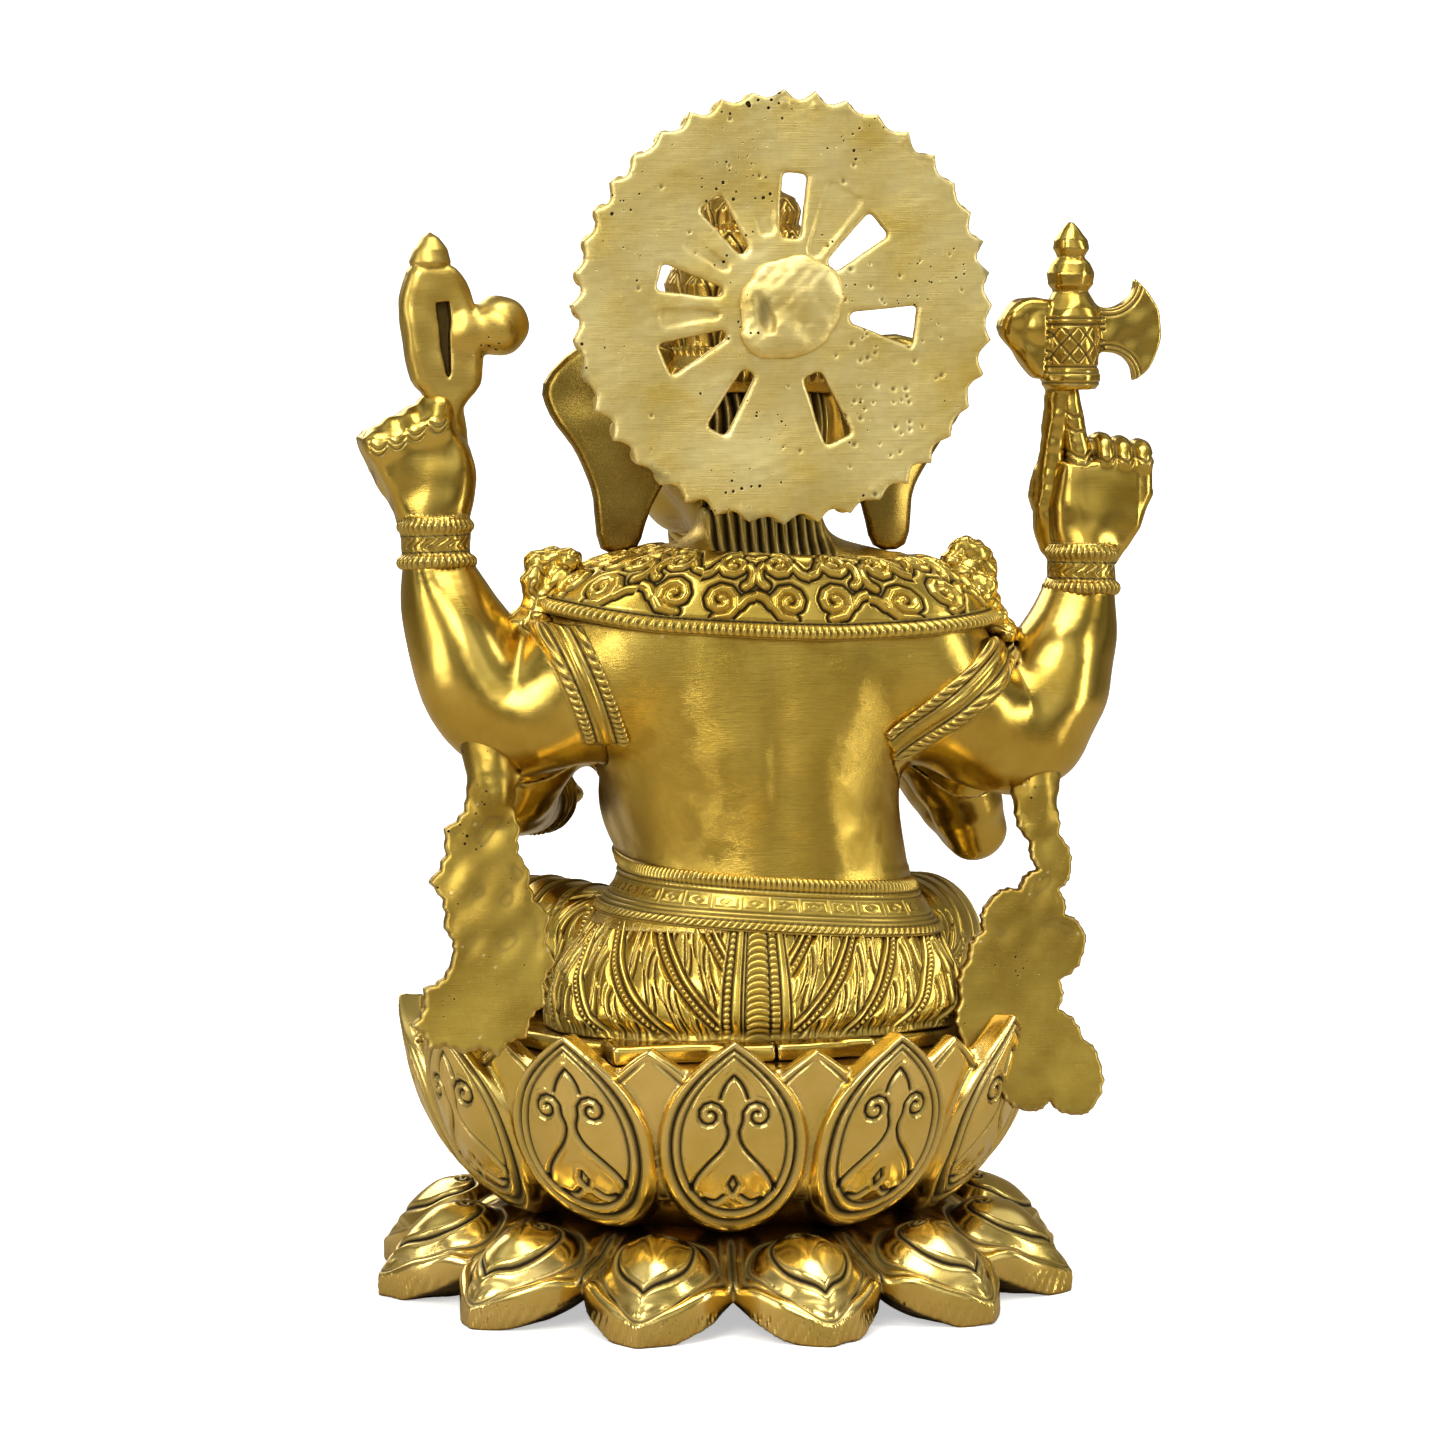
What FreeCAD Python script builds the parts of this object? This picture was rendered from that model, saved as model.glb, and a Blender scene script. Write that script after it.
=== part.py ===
"""Seated four-armed, elephant-headed deity on a double lotus, as an assembly of brass castings.

Frame: millimetres, +Z up, origin on the floor at the centre of the lotus. The figure faces -Y, so the
pierced halo stands on the +Y side and the figure's own left is +X. Each casting is one closed solid in
its own node. A casting that meets another is coped: cut to its neighbour's surface, as brazed parts are.
"""

import FreeCAD, Part
import math
import os

from FreeCAD import Base

V = Base.Vector

# ---- driving dimensions, mm ----
OVERALL_HEIGHT = 355.0
PETALS = 12                   # petals in each lotus ring
PLINTH_TIP_R = 107.0          # floor tips of the lower petals
PLINTH_VALLEY_R = 91.0        # floor outline between two petals
PLINTH_EDGE_H = 7.0           # upright cast edge round the floor outline
PLINTH_ARCH_H = 4.0           # the edge is lifted off the floor between two petals
FILED = 1.0                   # cast below the floor plane, then filed flat
NECK_R = 65.0                 # waist between the two lotus castings
NECK_Z = 27.0
BOWL_R = 90.0                 # round wall of the bowl behind the petals
# Outer face of the upright petals: radius and height.
BOWL_FACE = ((66, 25), (74, 31), (81, 38), (85.5, 44), (89, 50), (92, 57), (94.5, 65), (96, 73), (97, 88))
OUTER_PETAL = dict(half=22.0, foot=27.0, tip=86.0, set_back=0.0)
INNER_PETAL = dict(half=20.0, foot=38.0, tip=83.0, set_back=4.5)
PETAL_T = 9.0
SEAT_Z = 77.0                 # flat top of the bowl, under the seat slab
SEAT_T = 5.0
SLAB_R = 81.0
SLAB_BAR_X = 11.0             # middle of the slab's straight rear edge
SLAB_BAR_HALF = 39.0
SLAB_BAR_Y = 73.0             # how far that edge stands behind the lotus axis
SAW_CUT = (1.5, 0.9, 3.0)     # saw cut in that edge: place along X, width, depth
CAST_WALL = 5.0
CORE_INSET = 7.0              # sand core of the torso inside its outer sections
LOTUS_TURN = 4.0              # lotus is fitted slightly turned under the figure, degrees

FIGURE_X = -5.0               # figure sits a little to one side of the lotus axis
FIGURE_Y = 22.0               # and behind it, so the crossed legs have room
HALO_R = 61.0                 # to the middle of the rim scallops
HALO_SCALLOP = 1.6
HALO_LOBES = 40
HALO_T = 4.0
HALO_Y = 69.0                 # rear face of the disc
HALO_Z = OVERALL_HEIGHT - HALO_R - HALO_SCALLOP
# Slots of the halo, clockwise from the top as seen from behind:
# degrees, inner radius, outer radius, half width inside, half width outside.
HALO_SLOTS = ((5, 20, 38.5, 3.0, 3.6), (49.5, 18, 37, 2.0, 4.4), (97.5, 19.5, 39, 1.4, 6.0),
              (156.5, 20.5, 40.8, 2.8, 4.3), (209.5, 20.5, 40, 2.2, 3.1), (247, 18.5, 37.6, 1.4, 5.0),
              (284, 18.5, 37.4, 1.4, 4.0), (324.5, 19.5, 37, 1.7, 3.8))
STUB_R = 5.0                  # tenon that joins crown and halo

TIE_D = 8.0                   # tie bolt that clamps plinth, bowl, slab and figure together
TIE_CLEAR = 0.3
TIE_LENGTH = 84.0
TIE_FOOT_Z = 10.0
WASHER_R = 9.0
WASHER_T = 1.6
NUT_CORNERS = 15.0
NUT_H = 6.5
BAR_SIZE = (70, 18, 4)        # clamp bar under the plinth roof
MANTLE_LOW, MANTLE_HIGH, MANTLE_T = 197.0, 221.5, 2.5
BELT_LOW, BELT_HIGH, BELT_T = 113.0, 129.0, 1.5
SCARF_T = 4.0
SCARF_LEAN = 14.0             # degrees; the scarf ends hang clear of the lotus
SCARF_TOP = (42.0, 155.0)     # Y and Z of the line they lean about

OUT = "parts"


# ---- shape helpers ----
def ball(centre, radius):
    return Part.makeSphere(radius, V(*centre))


def ellipsoid(centre, radii, turn=0.0, axis=(0, 1, 0)):
    """Sphere stretched to three radii, then turned about an axis through its centre."""
    unit = Part.makeSphere(1.0)
    stretch = Base.Matrix()
    stretch.scale(*radii)
    shape = unit.transformGeometry(stretch)
    shape.rotate(V(0, 0, 0), V(*axis), turn)
    shape.translate(V(*centre))
    return shape


def limb(points, radii):
    """Round limb through joint centres: a ball at each joint and a cone between each pair."""
    shape = ball(points[0], radii[0])
    for a, b, ra, rb in zip(points, points[1:], radii, radii[1:]):
        start, end = V(*a), V(*b)
        span = end - start
        if abs(ra - rb) < 0.05:
            link = Part.makeCylinder(ra, span.Length, start, span)
        else:
            link = Part.makeCone(ra, rb, span.Length, start, span)
        shape = shape.fuse([link, ball(b, rb)])
    return shape.removeSplitter()


def sections(rows):
    """Loft through level ellipses given as (z, x, y, half width, half depth)."""
    wires = []
    for z, x, y, half_w, half_d in rows:
        if half_w >= half_d:
            curve = Part.Ellipse(V(x, y, z), half_w, half_d)
        else:
            curve = Part.Ellipse(V(x, y + half_d, z), V(x - half_w, y, z), V(x, y, z))
        wires.append(Part.Wire(curve.toShape()))
    return Part.makeLoft(wires, True, False)


def smooth_plate(points, thickness, y, sharp=False):
    """Plate in the XZ plane whose outline passes through points; its rear face is at y."""
    corners = [V(x, y, z) for x, z in points]
    if sharp:
        wire = Part.makePolygon(corners + corners[:1])
    else:
        curve = Part.BSplineCurve()
        curve.interpolate(corners, PeriodicFlag=True)
        wire = Part.Wire(curve.toShape())
    return Part.Face(wire).extrude(V(0, -thickness, 0))


def lobed_plate(points, thickness, y, bulge=0.17):
    """Plate in the XZ plane, its outline a chain of arcs that bulge outwards between the cusps."""
    edges = []
    for (ax, az), (bx, bz) in zip(points, points[1:] + points[:1]):
        crest = V((ax + bx) / 2 + bulge * (bz - az), y, (az + bz) / 2 - bulge * (bx - ax))
        edges.append(Part.Arc(V(ax, y, az), crest, V(bx, y, bz)).toShape())
    return Part.Face(Part.Wire(edges)).extrude(V(0, -thickness, 0))


def turned(shape, degrees, centre=(0, 0, 0), axis=(0, 0, 1)):
    copy = shape.copy()
    copy.rotate(V(*centre), V(*axis), degrees)
    return copy


def revolved(profile):
    """Solid of revolution about Z from (radius, z) points."""
    corners = [V(r, 0, z) for r, z in profile]
    face = Part.Face(Part.makePolygon(corners + corners[:1]))
    return face.revolve(V(0, 0, 0), V(0, 0, 1), 360)


def largest(shape):
    return max(shape.Solids, key=lambda s: s.Volume)


def coped(shape, *neighbours):
    """The piece cut to the surfaces it is brazed or clamped against."""
    for other in neighbours:
        shape = shape.cut(other)
    return largest(shape)


def mirrored(point):
    """A point on the figure's other side."""
    x, y, z = point
    return (2 * FIGURE_X - x, y, z)


# ---- lotus castings ----
def petal_angles(offset=0.0):
    """Directions of the petals in degrees about Z; zero points to the rear, +Y."""
    return [90 + LOTUS_TURN + offset + k * 360 / PETALS for k in range(PETALS)]


def floor_outline(height):
    """Twelve-pointed outline of the plinth, from the unfiled cast edge up to height."""
    pitch = 360 / PETALS
    edges = []
    for angle in petal_angles():
        stations = ((-pitch / 2, PLINTH_VALLEY_R), (-pitch / 4, PLINTH_TIP_R - 7), (0, PLINTH_TIP_R),
                    (pitch / 4, PLINTH_TIP_R - 7), (pitch / 2, PLINTH_VALLEY_R))
        spots = []
        for off, radius in stations:
            a = math.radians(angle + off)
            spots.append(V(radius * math.cos(a), radius * math.sin(a), -FILED))
        edges.append(Part.Arc(spots[0], spots[1], spots[2]).toShape())
        edges.append(Part.Arc(spots[2], spots[3], spots[4]).toShape())
    return Part.Face(Part.Wire(edges)).extrude(V(0, 0, FILED + height))


def edge_arch(angle):
    """Cutter that lifts the floor edge between two petals and leaves a whole ring to stand on."""
    radius, ring = 40.0, 2.0
    low = PLINTH_ARCH_H - radius
    tool = Part.makeCylinder(radius, PLINTH_TIP_R, V(PLINTH_VALLEY_R - ring, 0, low), V(1, 0, 0))
    return turned(tool, angle)


def lotus_plinth():
    """Lower casting: twelve drooping petals on a hollow cone, open underneath."""
    shape = floor_outline(PLINTH_EDGE_H)
    cone = revolved([(0, 2), (PLINTH_VALLEY_R - 3, 2), (PLINTH_VALLEY_R - 5, PLINTH_EDGE_H + 3),
                     (NECK_R + 3, NECK_Z - 1), (NECK_R, NECK_Z), (0, NECK_Z)])
    boss_r, boss_ring, boss_z = 19.0, 83.0, 3.0
    bosses = [ball((boss_ring * math.cos(math.radians(a)), boss_ring * math.sin(math.radians(a)), boss_z),
                   boss_r) for a in petal_angles()]
    shape = shape.fuse([cone] + bosses)
    below = Part.makeBox(300, 300, 40, V(-150, -150, -40))
    cavity = revolved([(0, -1), (PLINTH_VALLEY_R - CAST_WALL, -1), (PLINTH_VALLEY_R - 8, PLINTH_EDGE_H),
                       (NECK_R - CAST_WALL, NECK_Z - CAST_WALL), (0, NECK_Z - CAST_WALL)])
    shape = shape.cut(below).cut(cavity).cut(tie_hole(-1, NECK_Z + 1))
    return largest(shape.cut([edge_arch(a) for a in petal_angles(180 / PETALS)]))


def petal_shell(set_back):
    """Ring with the petals' curved profile, from which the upright petals are cut."""
    face = [(r - set_back, z) for r, z in BOWL_FACE]
    back = [(r - PETAL_T, z) for r, z in reversed(face)]
    return revolved(face + back)


def petal_arch(half, foot, tip):
    """Radial prism with a petal's outline: round foot, full sides, pointed tip."""
    wide = foot + 0.48 * (tip - foot)
    bend = foot + 0.16 * (tip - foot)
    shoulder = foot + 0.8 * (tip - foot)
    side = [(0, tip), (0.66 * half, shoulder), (half, wide), (0.74 * half, bend), (0, foot)]
    edges = []
    for hand in (-1, 1):
        spots = [V(0, hand * y, z) for y, z in side]
        edges.append(Part.Arc(spots[0], spots[1], spots[2]).toShape())
        edges.append(Part.Arc(spots[2], spots[3], spots[4]).toShape())
    return Part.Face(Part.Wire(Part.__sortEdges__(edges))).extrude(V(2 * BOWL_R, 0, 0))


def petal_ring(offset, half, foot, tip, set_back):
    """Twelve upright petals, the first one turned by offset from the rear."""
    petal = petal_arch(half, foot, tip).common(petal_shell(set_back))
    return [turned(petal, a) for a in petal_angles(offset)]


def lotus_bowl():
    """Upper casting: two rings of upright petals round a hollow bowl with a flat top."""
    foot_r = NECK_R - 1
    bowl = revolved([(0, NECK_Z), (foot_r, NECK_Z), (BOWL_R - 15.5, 37), (BOWL_R - 7, 49),
                     (BOWL_R - 2.5, 62), (BOWL_R - 1, SEAT_Z), (0, SEAT_Z)])
    shape = bowl.fuse(petal_ring(180 / PETALS, **OUTER_PETAL) + petal_ring(0, **INNER_PETAL))
    roof = SEAT_Z - CAST_WALL
    cavity = revolved([(0, NECK_Z - 1), (foot_r - CAST_WALL, NECK_Z - 1), (BOWL_R - 22, 38),
                       (BOWL_R - 13, 50), (BOWL_R - 8.5, 62), (BOWL_R - 7, roof), (0, roof)])
    below = Part.makeBox(300, 300, 40, V(-150, -150, NECK_Z - 40))
    return largest(shape.cut(below).cut(cavity).cut(tie_hole(NECK_Z - 1, SEAT_Z + 1)))


def seat_slab():
    """Flat plate between lotus and figure, with a straight rear edge that has a saw cut in it."""
    disc = Part.makeCylinder(SLAB_R, SEAT_T, V(0, 0, SEAT_Z))
    low = SEAT_Z - 5
    cutters = [Part.makeBox(300, 60, 20, V(-150, SLAB_BAR_Y, low))]
    for x in (SLAB_BAR_X + SLAB_BAR_HALF, SLAB_BAR_X - SLAB_BAR_HALF - 60):
        cutters.append(Part.makeBox(60, 40, 20, V(x, SLAB_BAR_Y - 14, low)))
    place, width, depth = SAW_CUT
    cutters.append(Part.makeBox(width, depth, 20, V(place - width / 2, SLAB_BAR_Y - depth, low)))
    for cutter in cutters:
        disc = disc.cut(cutter)
    return largest(disc.cut(tie_hole(SEAT_Z - 1, SEAT_Z + SEAT_T + 1)))


# ---- tie bolt, clamp bar and nut inside the lotus ----
def tie_hole(low, high):
    return Part.makeCylinder(TIE_D / 2 + TIE_CLEAR, high - low, V(FIGURE_X, FIGURE_Y, low))


def tie_bolt():
    """Threaded rod from the figure's boss down to the clamp bar."""
    return Part.makeCylinder(TIE_D / 2, TIE_LENGTH, V(FIGURE_X, FIGURE_Y, TIE_FOOT_Z))


def clamp_bar():
    """Flat bar under the plinth roof that spreads the bolt's load."""
    length, width, thick = BAR_SIZE
    corner = V(FIGURE_X - length / 2, FIGURE_Y - width / 2, NECK_Z - CAST_WALL - thick)
    return largest(Part.makeBox(length, width, thick, corner).cut(tie_hole(0, NECK_Z)))


def washer():
    z = NECK_Z - CAST_WALL - BAR_SIZE[2] - WASHER_T
    disc = Part.makeCylinder(WASHER_R, WASHER_T, V(FIGURE_X, FIGURE_Y, z))
    return largest(disc.cut(tie_hole(z - 1, z + WASHER_T + 1)))


def hex_nut():
    z = NECK_Z - CAST_WALL - BAR_SIZE[2] - WASHER_T - NUT_H
    corners = [V(FIGURE_X + NUT_CORNERS / 2 * math.cos(math.radians(60 * k)),
                 FIGURE_Y + NUT_CORNERS / 2 * math.sin(math.radians(60 * k)), z) for k in range(7)]
    nut = Part.Face(Part.makePolygon(corners)).extrude(V(0, 0, NUT_H))
    return largest(nut.cut(Part.makeCylinder(TIE_D / 2, NUT_H + 2, V(FIGURE_X, FIGURE_Y, z - 1))))


# ---- the figure ----
HIP_ROWS = [
    (76, FIGURE_X + 2, 30, 61.5, 39), (90, FIGURE_X + 1, 31, 62, 40), (99, FIGURE_X + 1, 30, 59, 38.5),
    (108, FIGURE_X, 28, 53, 36), (117, FIGURE_X - 1, 25, 46.5, 34), (124, FIGURE_X - 2, 22, 40, 33),
]


def lower_body():
    """Hips and crossed legs in one casting, with a tapped boss for the tie bolt."""
    seat = SEAT_Z + SEAT_T
    left = limb([(24, 22, 98), (54, -30, 99), (2, -62, 92)], [20, 20, 11])
    right = limb([mirrored((24, 22, 98)), mirrored((57, -26, 99)), mirrored((-2, -50, 92))], [20, 20, 11])
    feet = [ellipsoid((-22, -62, 91), (17, 10, 8)), ellipsoid((12, -50, 98), (15, 9, 7))]
    lap = ellipsoid((FIGURE_X, -14, 98), (46, 44, 18))
    shape = sections(HIP_ROWS).fuse([left, right, lap] + feet)
    floor = Part.makeBox(300, 300, 60, V(-150, -150, seat - 60))
    return largest(shape.cut(floor))


def cored_lower_body(legs):
    """The casting with its sand core removed, and the bridge left in it that carries the tapped boss."""
    seat = SEAT_Z + SEAT_T
    core = ellipsoid((FIGURE_X + 1, 31, 97), (53, 30, 23))
    core = core.fuse(ellipsoid((FIGURE_X, -14, 92), (44, 36, 14)))
    bridge = Part.makeBox(110, 2 * TIE_D, CAST_WALL, V(FIGURE_X - 54, FIGURE_Y - TIE_D, seat))
    boss = Part.makeCylinder(TIE_D, 16, V(FIGURE_X, FIGURE_Y, seat))
    tapped = Part.makeCylinder(TIE_D / 2, 20, V(FIGURE_X, FIGURE_Y, seat - 2))
    return largest(legs.cut(core).fuse([bridge, boss]).cut(tapped))


TORSO_ROWS = [
    (112, FIGURE_X - 1, 25, 48, 34), (129, FIGURE_X - 2, 22, 42, 36), (148, FIGURE_X, 19, 43.5, 39.5),
    (168, FIGURE_X + 1, 22, 50, 37.5), (188, FIGURE_X + 1, 26, 60, 33), (203, FIGURE_X, 28, 64, 29),
    (213, FIGURE_X, 29, 57, 26), (219, FIGURE_X, 29, 46, 23), (226, FIGURE_X, 28, 26, 19),
]


def torso(legs):
    """Bare back and round belly."""
    body = sections(TORSO_ROWS)
    belly = ellipsoid((FIGURE_X, -2, 146), (43, 40, 34))
    return coped(body.fuse(belly), legs)


def cored_torso(body):
    core = sections([(z, x, y, w - CORE_INSET, d - CORE_INSET) for z, x, y, w, d in TORSO_ROWS])
    belly = ellipsoid((FIGURE_X, -2, 146), (37, 34, 28))
    return largest(body.cut(core.fuse(belly)))


def band_round_torso(low, high, stand_off):
    """Ring that follows the torso between two heights."""
    rows = [(z, x, y, w + stand_off, d + stand_off) for z, x, y, w, d in TORSO_ROWS]
    slab = Part.makeBox(300, 300, high - low, V(-150, -150, low))
    return sections(rows).common(slab)


def head():
    """Elephant's head with its trunk curled to the figure's left, over the sweets."""
    skull = ellipsoid((FIGURE_X, 12, 255), (30, 32, 33))
    neck = Part.makeCone(21, 22, 20, V(FIGURE_X, 24, 219))
    path = [(FIGURE_X, -16, 244), (FIGURE_X - 1, -32, 222), (FIGURE_X - 3, -46, 196),
            (FIGURE_X + 1, -54, 172), (FIGURE_X + 14, -60, 156), (FIGURE_X + 29, -62, 160)]
    trunk = limb(path, [17, 14.5, 12, 10, 8, 6.5])
    return largest(skull.fuse([neck, trunk]))


def cored_head(skull):
    core = ellipsoid((FIGURE_X, 12, 255), (24, 26, 27))
    core = core.fuse(Part.makeCylinder(14, 40, V(FIGURE_X, 22, 205)))
    return largest(skull.cut(core))


def ear(side):
    """Broad ear whose lower end hangs to the shoulder. Side is 1 for the figure's left."""
    outline = [(22, 276), (38, 284), (52, 281), (61, 270), (58, 259), (51, 245), (47, 226), (36, 226),
               (32, 238), (24, 254)]
    points = [(FIGURE_X + side * dx, z) for dx, z in outline]
    plate = smooth_plate(points, 5.0, 24.0)
    return turned(plate, side * 10, (FIGURE_X + side * 24, 24, 255))


def tusk(side, length):
    start = V(FIGURE_X + side * 13, -14, 236)
    way = V(side * 0.28, -0.82, -0.5)
    return Part.makeCone(4.2, 2.0 if length > 12 else 3.6, length, start, way)


def crown():
    """Tiered crown narrowing to a finial, hidden behind the halo from the rear."""
    profile = [(0, 272), (29, 272), (30, 279), (26, 281), (27, 292), (22, 294), (23, 304),
               (17, 306), (18, 314), (12, 316), (13, 324), (7, 328), (8, 333), (4, 338), (0, 347)]
    shape = revolved(profile)
    shape.translate(V(FIGURE_X, 12, 0))
    return shape


def halo_disc():
    """Pierced wheel with a scalloped rim and eight radial slots."""
    centre_x = FIGURE_X + 2.5
    spots = []
    for k in range(HALO_LOBES * 4):
        a = 2 * math.pi * k / (HALO_LOBES * 4)
        radius = HALO_R + HALO_SCALLOP * math.cos(HALO_LOBES * a)
        spots.append((centre_x + radius * math.sin(a), HALO_Z + radius * math.cos(a)))
    disc = smooth_plate(spots, HALO_T, HALO_Y)
    for degrees, inner, outer, half_in, half_out in HALO_SLOTS:
        corners = [(-half_in, inner), (half_in, inner), (half_out, outer), (-half_out, outer)]
        places = [(centre_x + x, HALO_Z + z) for x, z in corners]
        slot = smooth_plate(places, HALO_T + 2, HALO_Y + 1, sharp=True)
        slot.rotate(V(centre_x, 0, HALO_Z), V(0, 1, 0), -degrees)
        disc = disc.cut(slot)
    hole = Part.makeCylinder(STUB_R, 20, V(centre_x, HALO_Y - 12, HALO_Z), V(0, 1, 0))
    return largest(disc.cut(hole))


def halo_stub():
    """Round tenon from the crown through the hub, peened over behind."""
    x, front = FIGURE_X + 2.5, 24.0
    shank = Part.makeCylinder(STUB_R, HALO_Y - front, V(x, front, HALO_Z), V(0, 1, 0))
    shoulder = Part.makeCylinder(9.0, HALO_Y - HALO_T - front, V(x, front, HALO_Z), V(0, 1, 0))
    peened = Part.makeCone(14.5, 9.0, 2.2, V(x, HALO_Y, HALO_Z), V(0, 1, 0))
    return largest(shank.fuse([shoulder, peened]))


# ---- raised rear arms, hands and what they hold ----
LEFT_ARM = [(40, 36, 192), (70, 31, 175), (83, 27, 193), (90, 22, 217)]
RIGHT_ARM = [(-48, 36, 190), (-82, 31, 166), (-97, 27, 186), (-104, 22, 207)]
ARM_R = [19, 17, 15, 9.5]


def rear_hand(wrist, side):
    """Fist with two beaded bangles, cast with a short cuff that butts on the forearm."""
    x, y, z = wrist
    cuff = Part.makeCylinder(9.5, 18, V(x, y, z), V(side * 0.08, -0.05, 1))
    palm = ellipsoid((x + side * 9, y - 2, z + 32), (16, 10, 18), side * 16)
    knuckles = [ball((x + side * (4 + 6.5 * k), y - 4, z + 45 - 3.5 * k), 6.0) for k in range(4)]
    return largest(cuff.fuse([palm] + knuckles))


def goad(wrist):
    """Hooked goad head: flat leaf body, pointed cap and a ball on a short neck."""
    x, y, z = wrist
    leaf = ellipsoid((x - 1, y - 4, z + 69), (12, 6, 25))
    stem = limb([(x - 1, y - 4, z + 30), (x + 1, y - 4, z + 52)], [5, 7])
    cap = Part.makeCone(6.5, 1.0, 12, V(x + 1, y - 4, z + 86), V(0, 0, 1))
    neck = Part.makeCylinder(4, 14, V(x - 2, y - 4, z + 69), V(-1, 0, 0))
    knob = ball((x - 19, y - 4, z + 70), 8)
    return largest(leaf.fuse([stem, cap, neck, knob]))


def axe(wrist):
    """Battle axe: banded socket with a finial, crescent blade and a hooked poll."""
    x, y, z = wrist[0] + 2, wrist[1] - 4, wrist[2]
    shaft = Part.makeCylinder(4.5, 50, V(x + 5, y, z + 12), V(-0.06, 0, 1))
    socket = revolved([(0, 60), (8, 60), (9, 64), (9, 84), (6, 90), (7.5, 96), (5, 100), (5, 103),
                       (3, 108), (0, 110)])
    socket.translate(V(x, y, z))
    blade = Part.makeCylinder(19, 6, V(x - 14, y + 3, z + 76), V(0, -1, 0))
    bites = [Part.makeCylinder(9, 10, V(x - 15, y + 5, z + 76 + dz), V(0, -1, 0)) for dz in (17, -17)]
    half = Part.makeBox(40, 12, 50, V(x - 4, y - 6, z + 50))
    for cutter in bites + [half]:
        blade = blade.cut(cutter)
    poll = ellipsoid((x + 14, y, z + 74), (8, 6, 12), 12)
    return largest(socket.fuse([shaft, blade, poll]))


# ---- front arms ----
def front_right_arm():
    """Bent arm raised in blessing, palm to the front."""
    arm = limb([(-50, 14, 196), (-79, -4, 136), (-66, -44, 158)], [16, 12, 8.5])
    hand = ellipsoid((-65, -52, 176), (11, 5, 17))
    return arm.fuse(hand)


def front_left_arm():
    """Arm reaching forward with the palm up, under the bowl of sweets."""
    arm = limb([(40, 14, 192), (64, 2, 152), (46, -48, 142)], [16, 12, 8.5])
    hand = ellipsoid((40, -60, 142), (11, 14, 5))
    return arm.fuse(hand)


def sweet_bowl():
    """Small footed bowl heaped with round sweets."""
    bowl = revolved([(0, 147), (7, 147), (13, 156), (12, 157), (0, 157)])
    bowl.translate(V(40, -62, 0))
    sweets = [ball((40 + 6 * math.cos(math.radians(a)), -62 + 6 * math.sin(math.radians(a)), 158), 4.5)
              for a in range(0, 360, 72)]
    return largest(bowl.fuse(sweets + [ball((40, -62, 163), 5)]))


# ---- hanging scarf ends and shoulder ornaments ----
# Cusps of the scarf ends' lobed outlines, X and Z, anticlockwise in that plane.
LEFT_CUSPS = [
    (70, 158), (70, 143), (68, 131), (62.5, 118), (61.5, 105), (65, 92), (71, 83), (79.5, 77.5),
    (89.5, 79), (100, 81), (104.5, 89), (100, 98), (92, 106), (94, 115), (97.5, 128), (92, 143), (85, 158),
]
RIGHT_CUSPS = [
    (-92, 158), (-89, 146), (-92, 136), (-95, 126), (-91, 120), (-92, 113), (-97, 109), (-96.5, 103),
    (-89, 94), (-88.5, 85), (-95.5, 76), (-99.5, 70), (-97, 57), (-90.7, 54), (-83.4, 58), (-77, 55.5),
    (-68.4, 62), (-58, 77), (-58.6, 89), (-62, 100), (-66.5, 109), (-69, 117.5), (-78, 121), (-84, 128),
    (-82, 146), (-81, 158),
]


def scarf(side):
    """Flat scalloped scarf end, brazed to the elbow and hanging past the lotus rim."""
    cusps = LEFT_CUSPS if side > 0 else RIGHT_CUSPS
    top_y, top_z = SCARF_TOP
    plate = lobed_plate(cusps, SCARF_T, top_y)
    return turned(plate, SCARF_LEAN, (0, top_y, top_z), (1, 0, 0))


def shoulder_boss(side):
    """Rough rosette on the shoulder, covering the arm's brazed root."""
    x = FIGURE_X + side * 63
    return ball((x, 30, 211), 8.5).fuse(ball((x - side * 7, 28, 215), 7.5))


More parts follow.
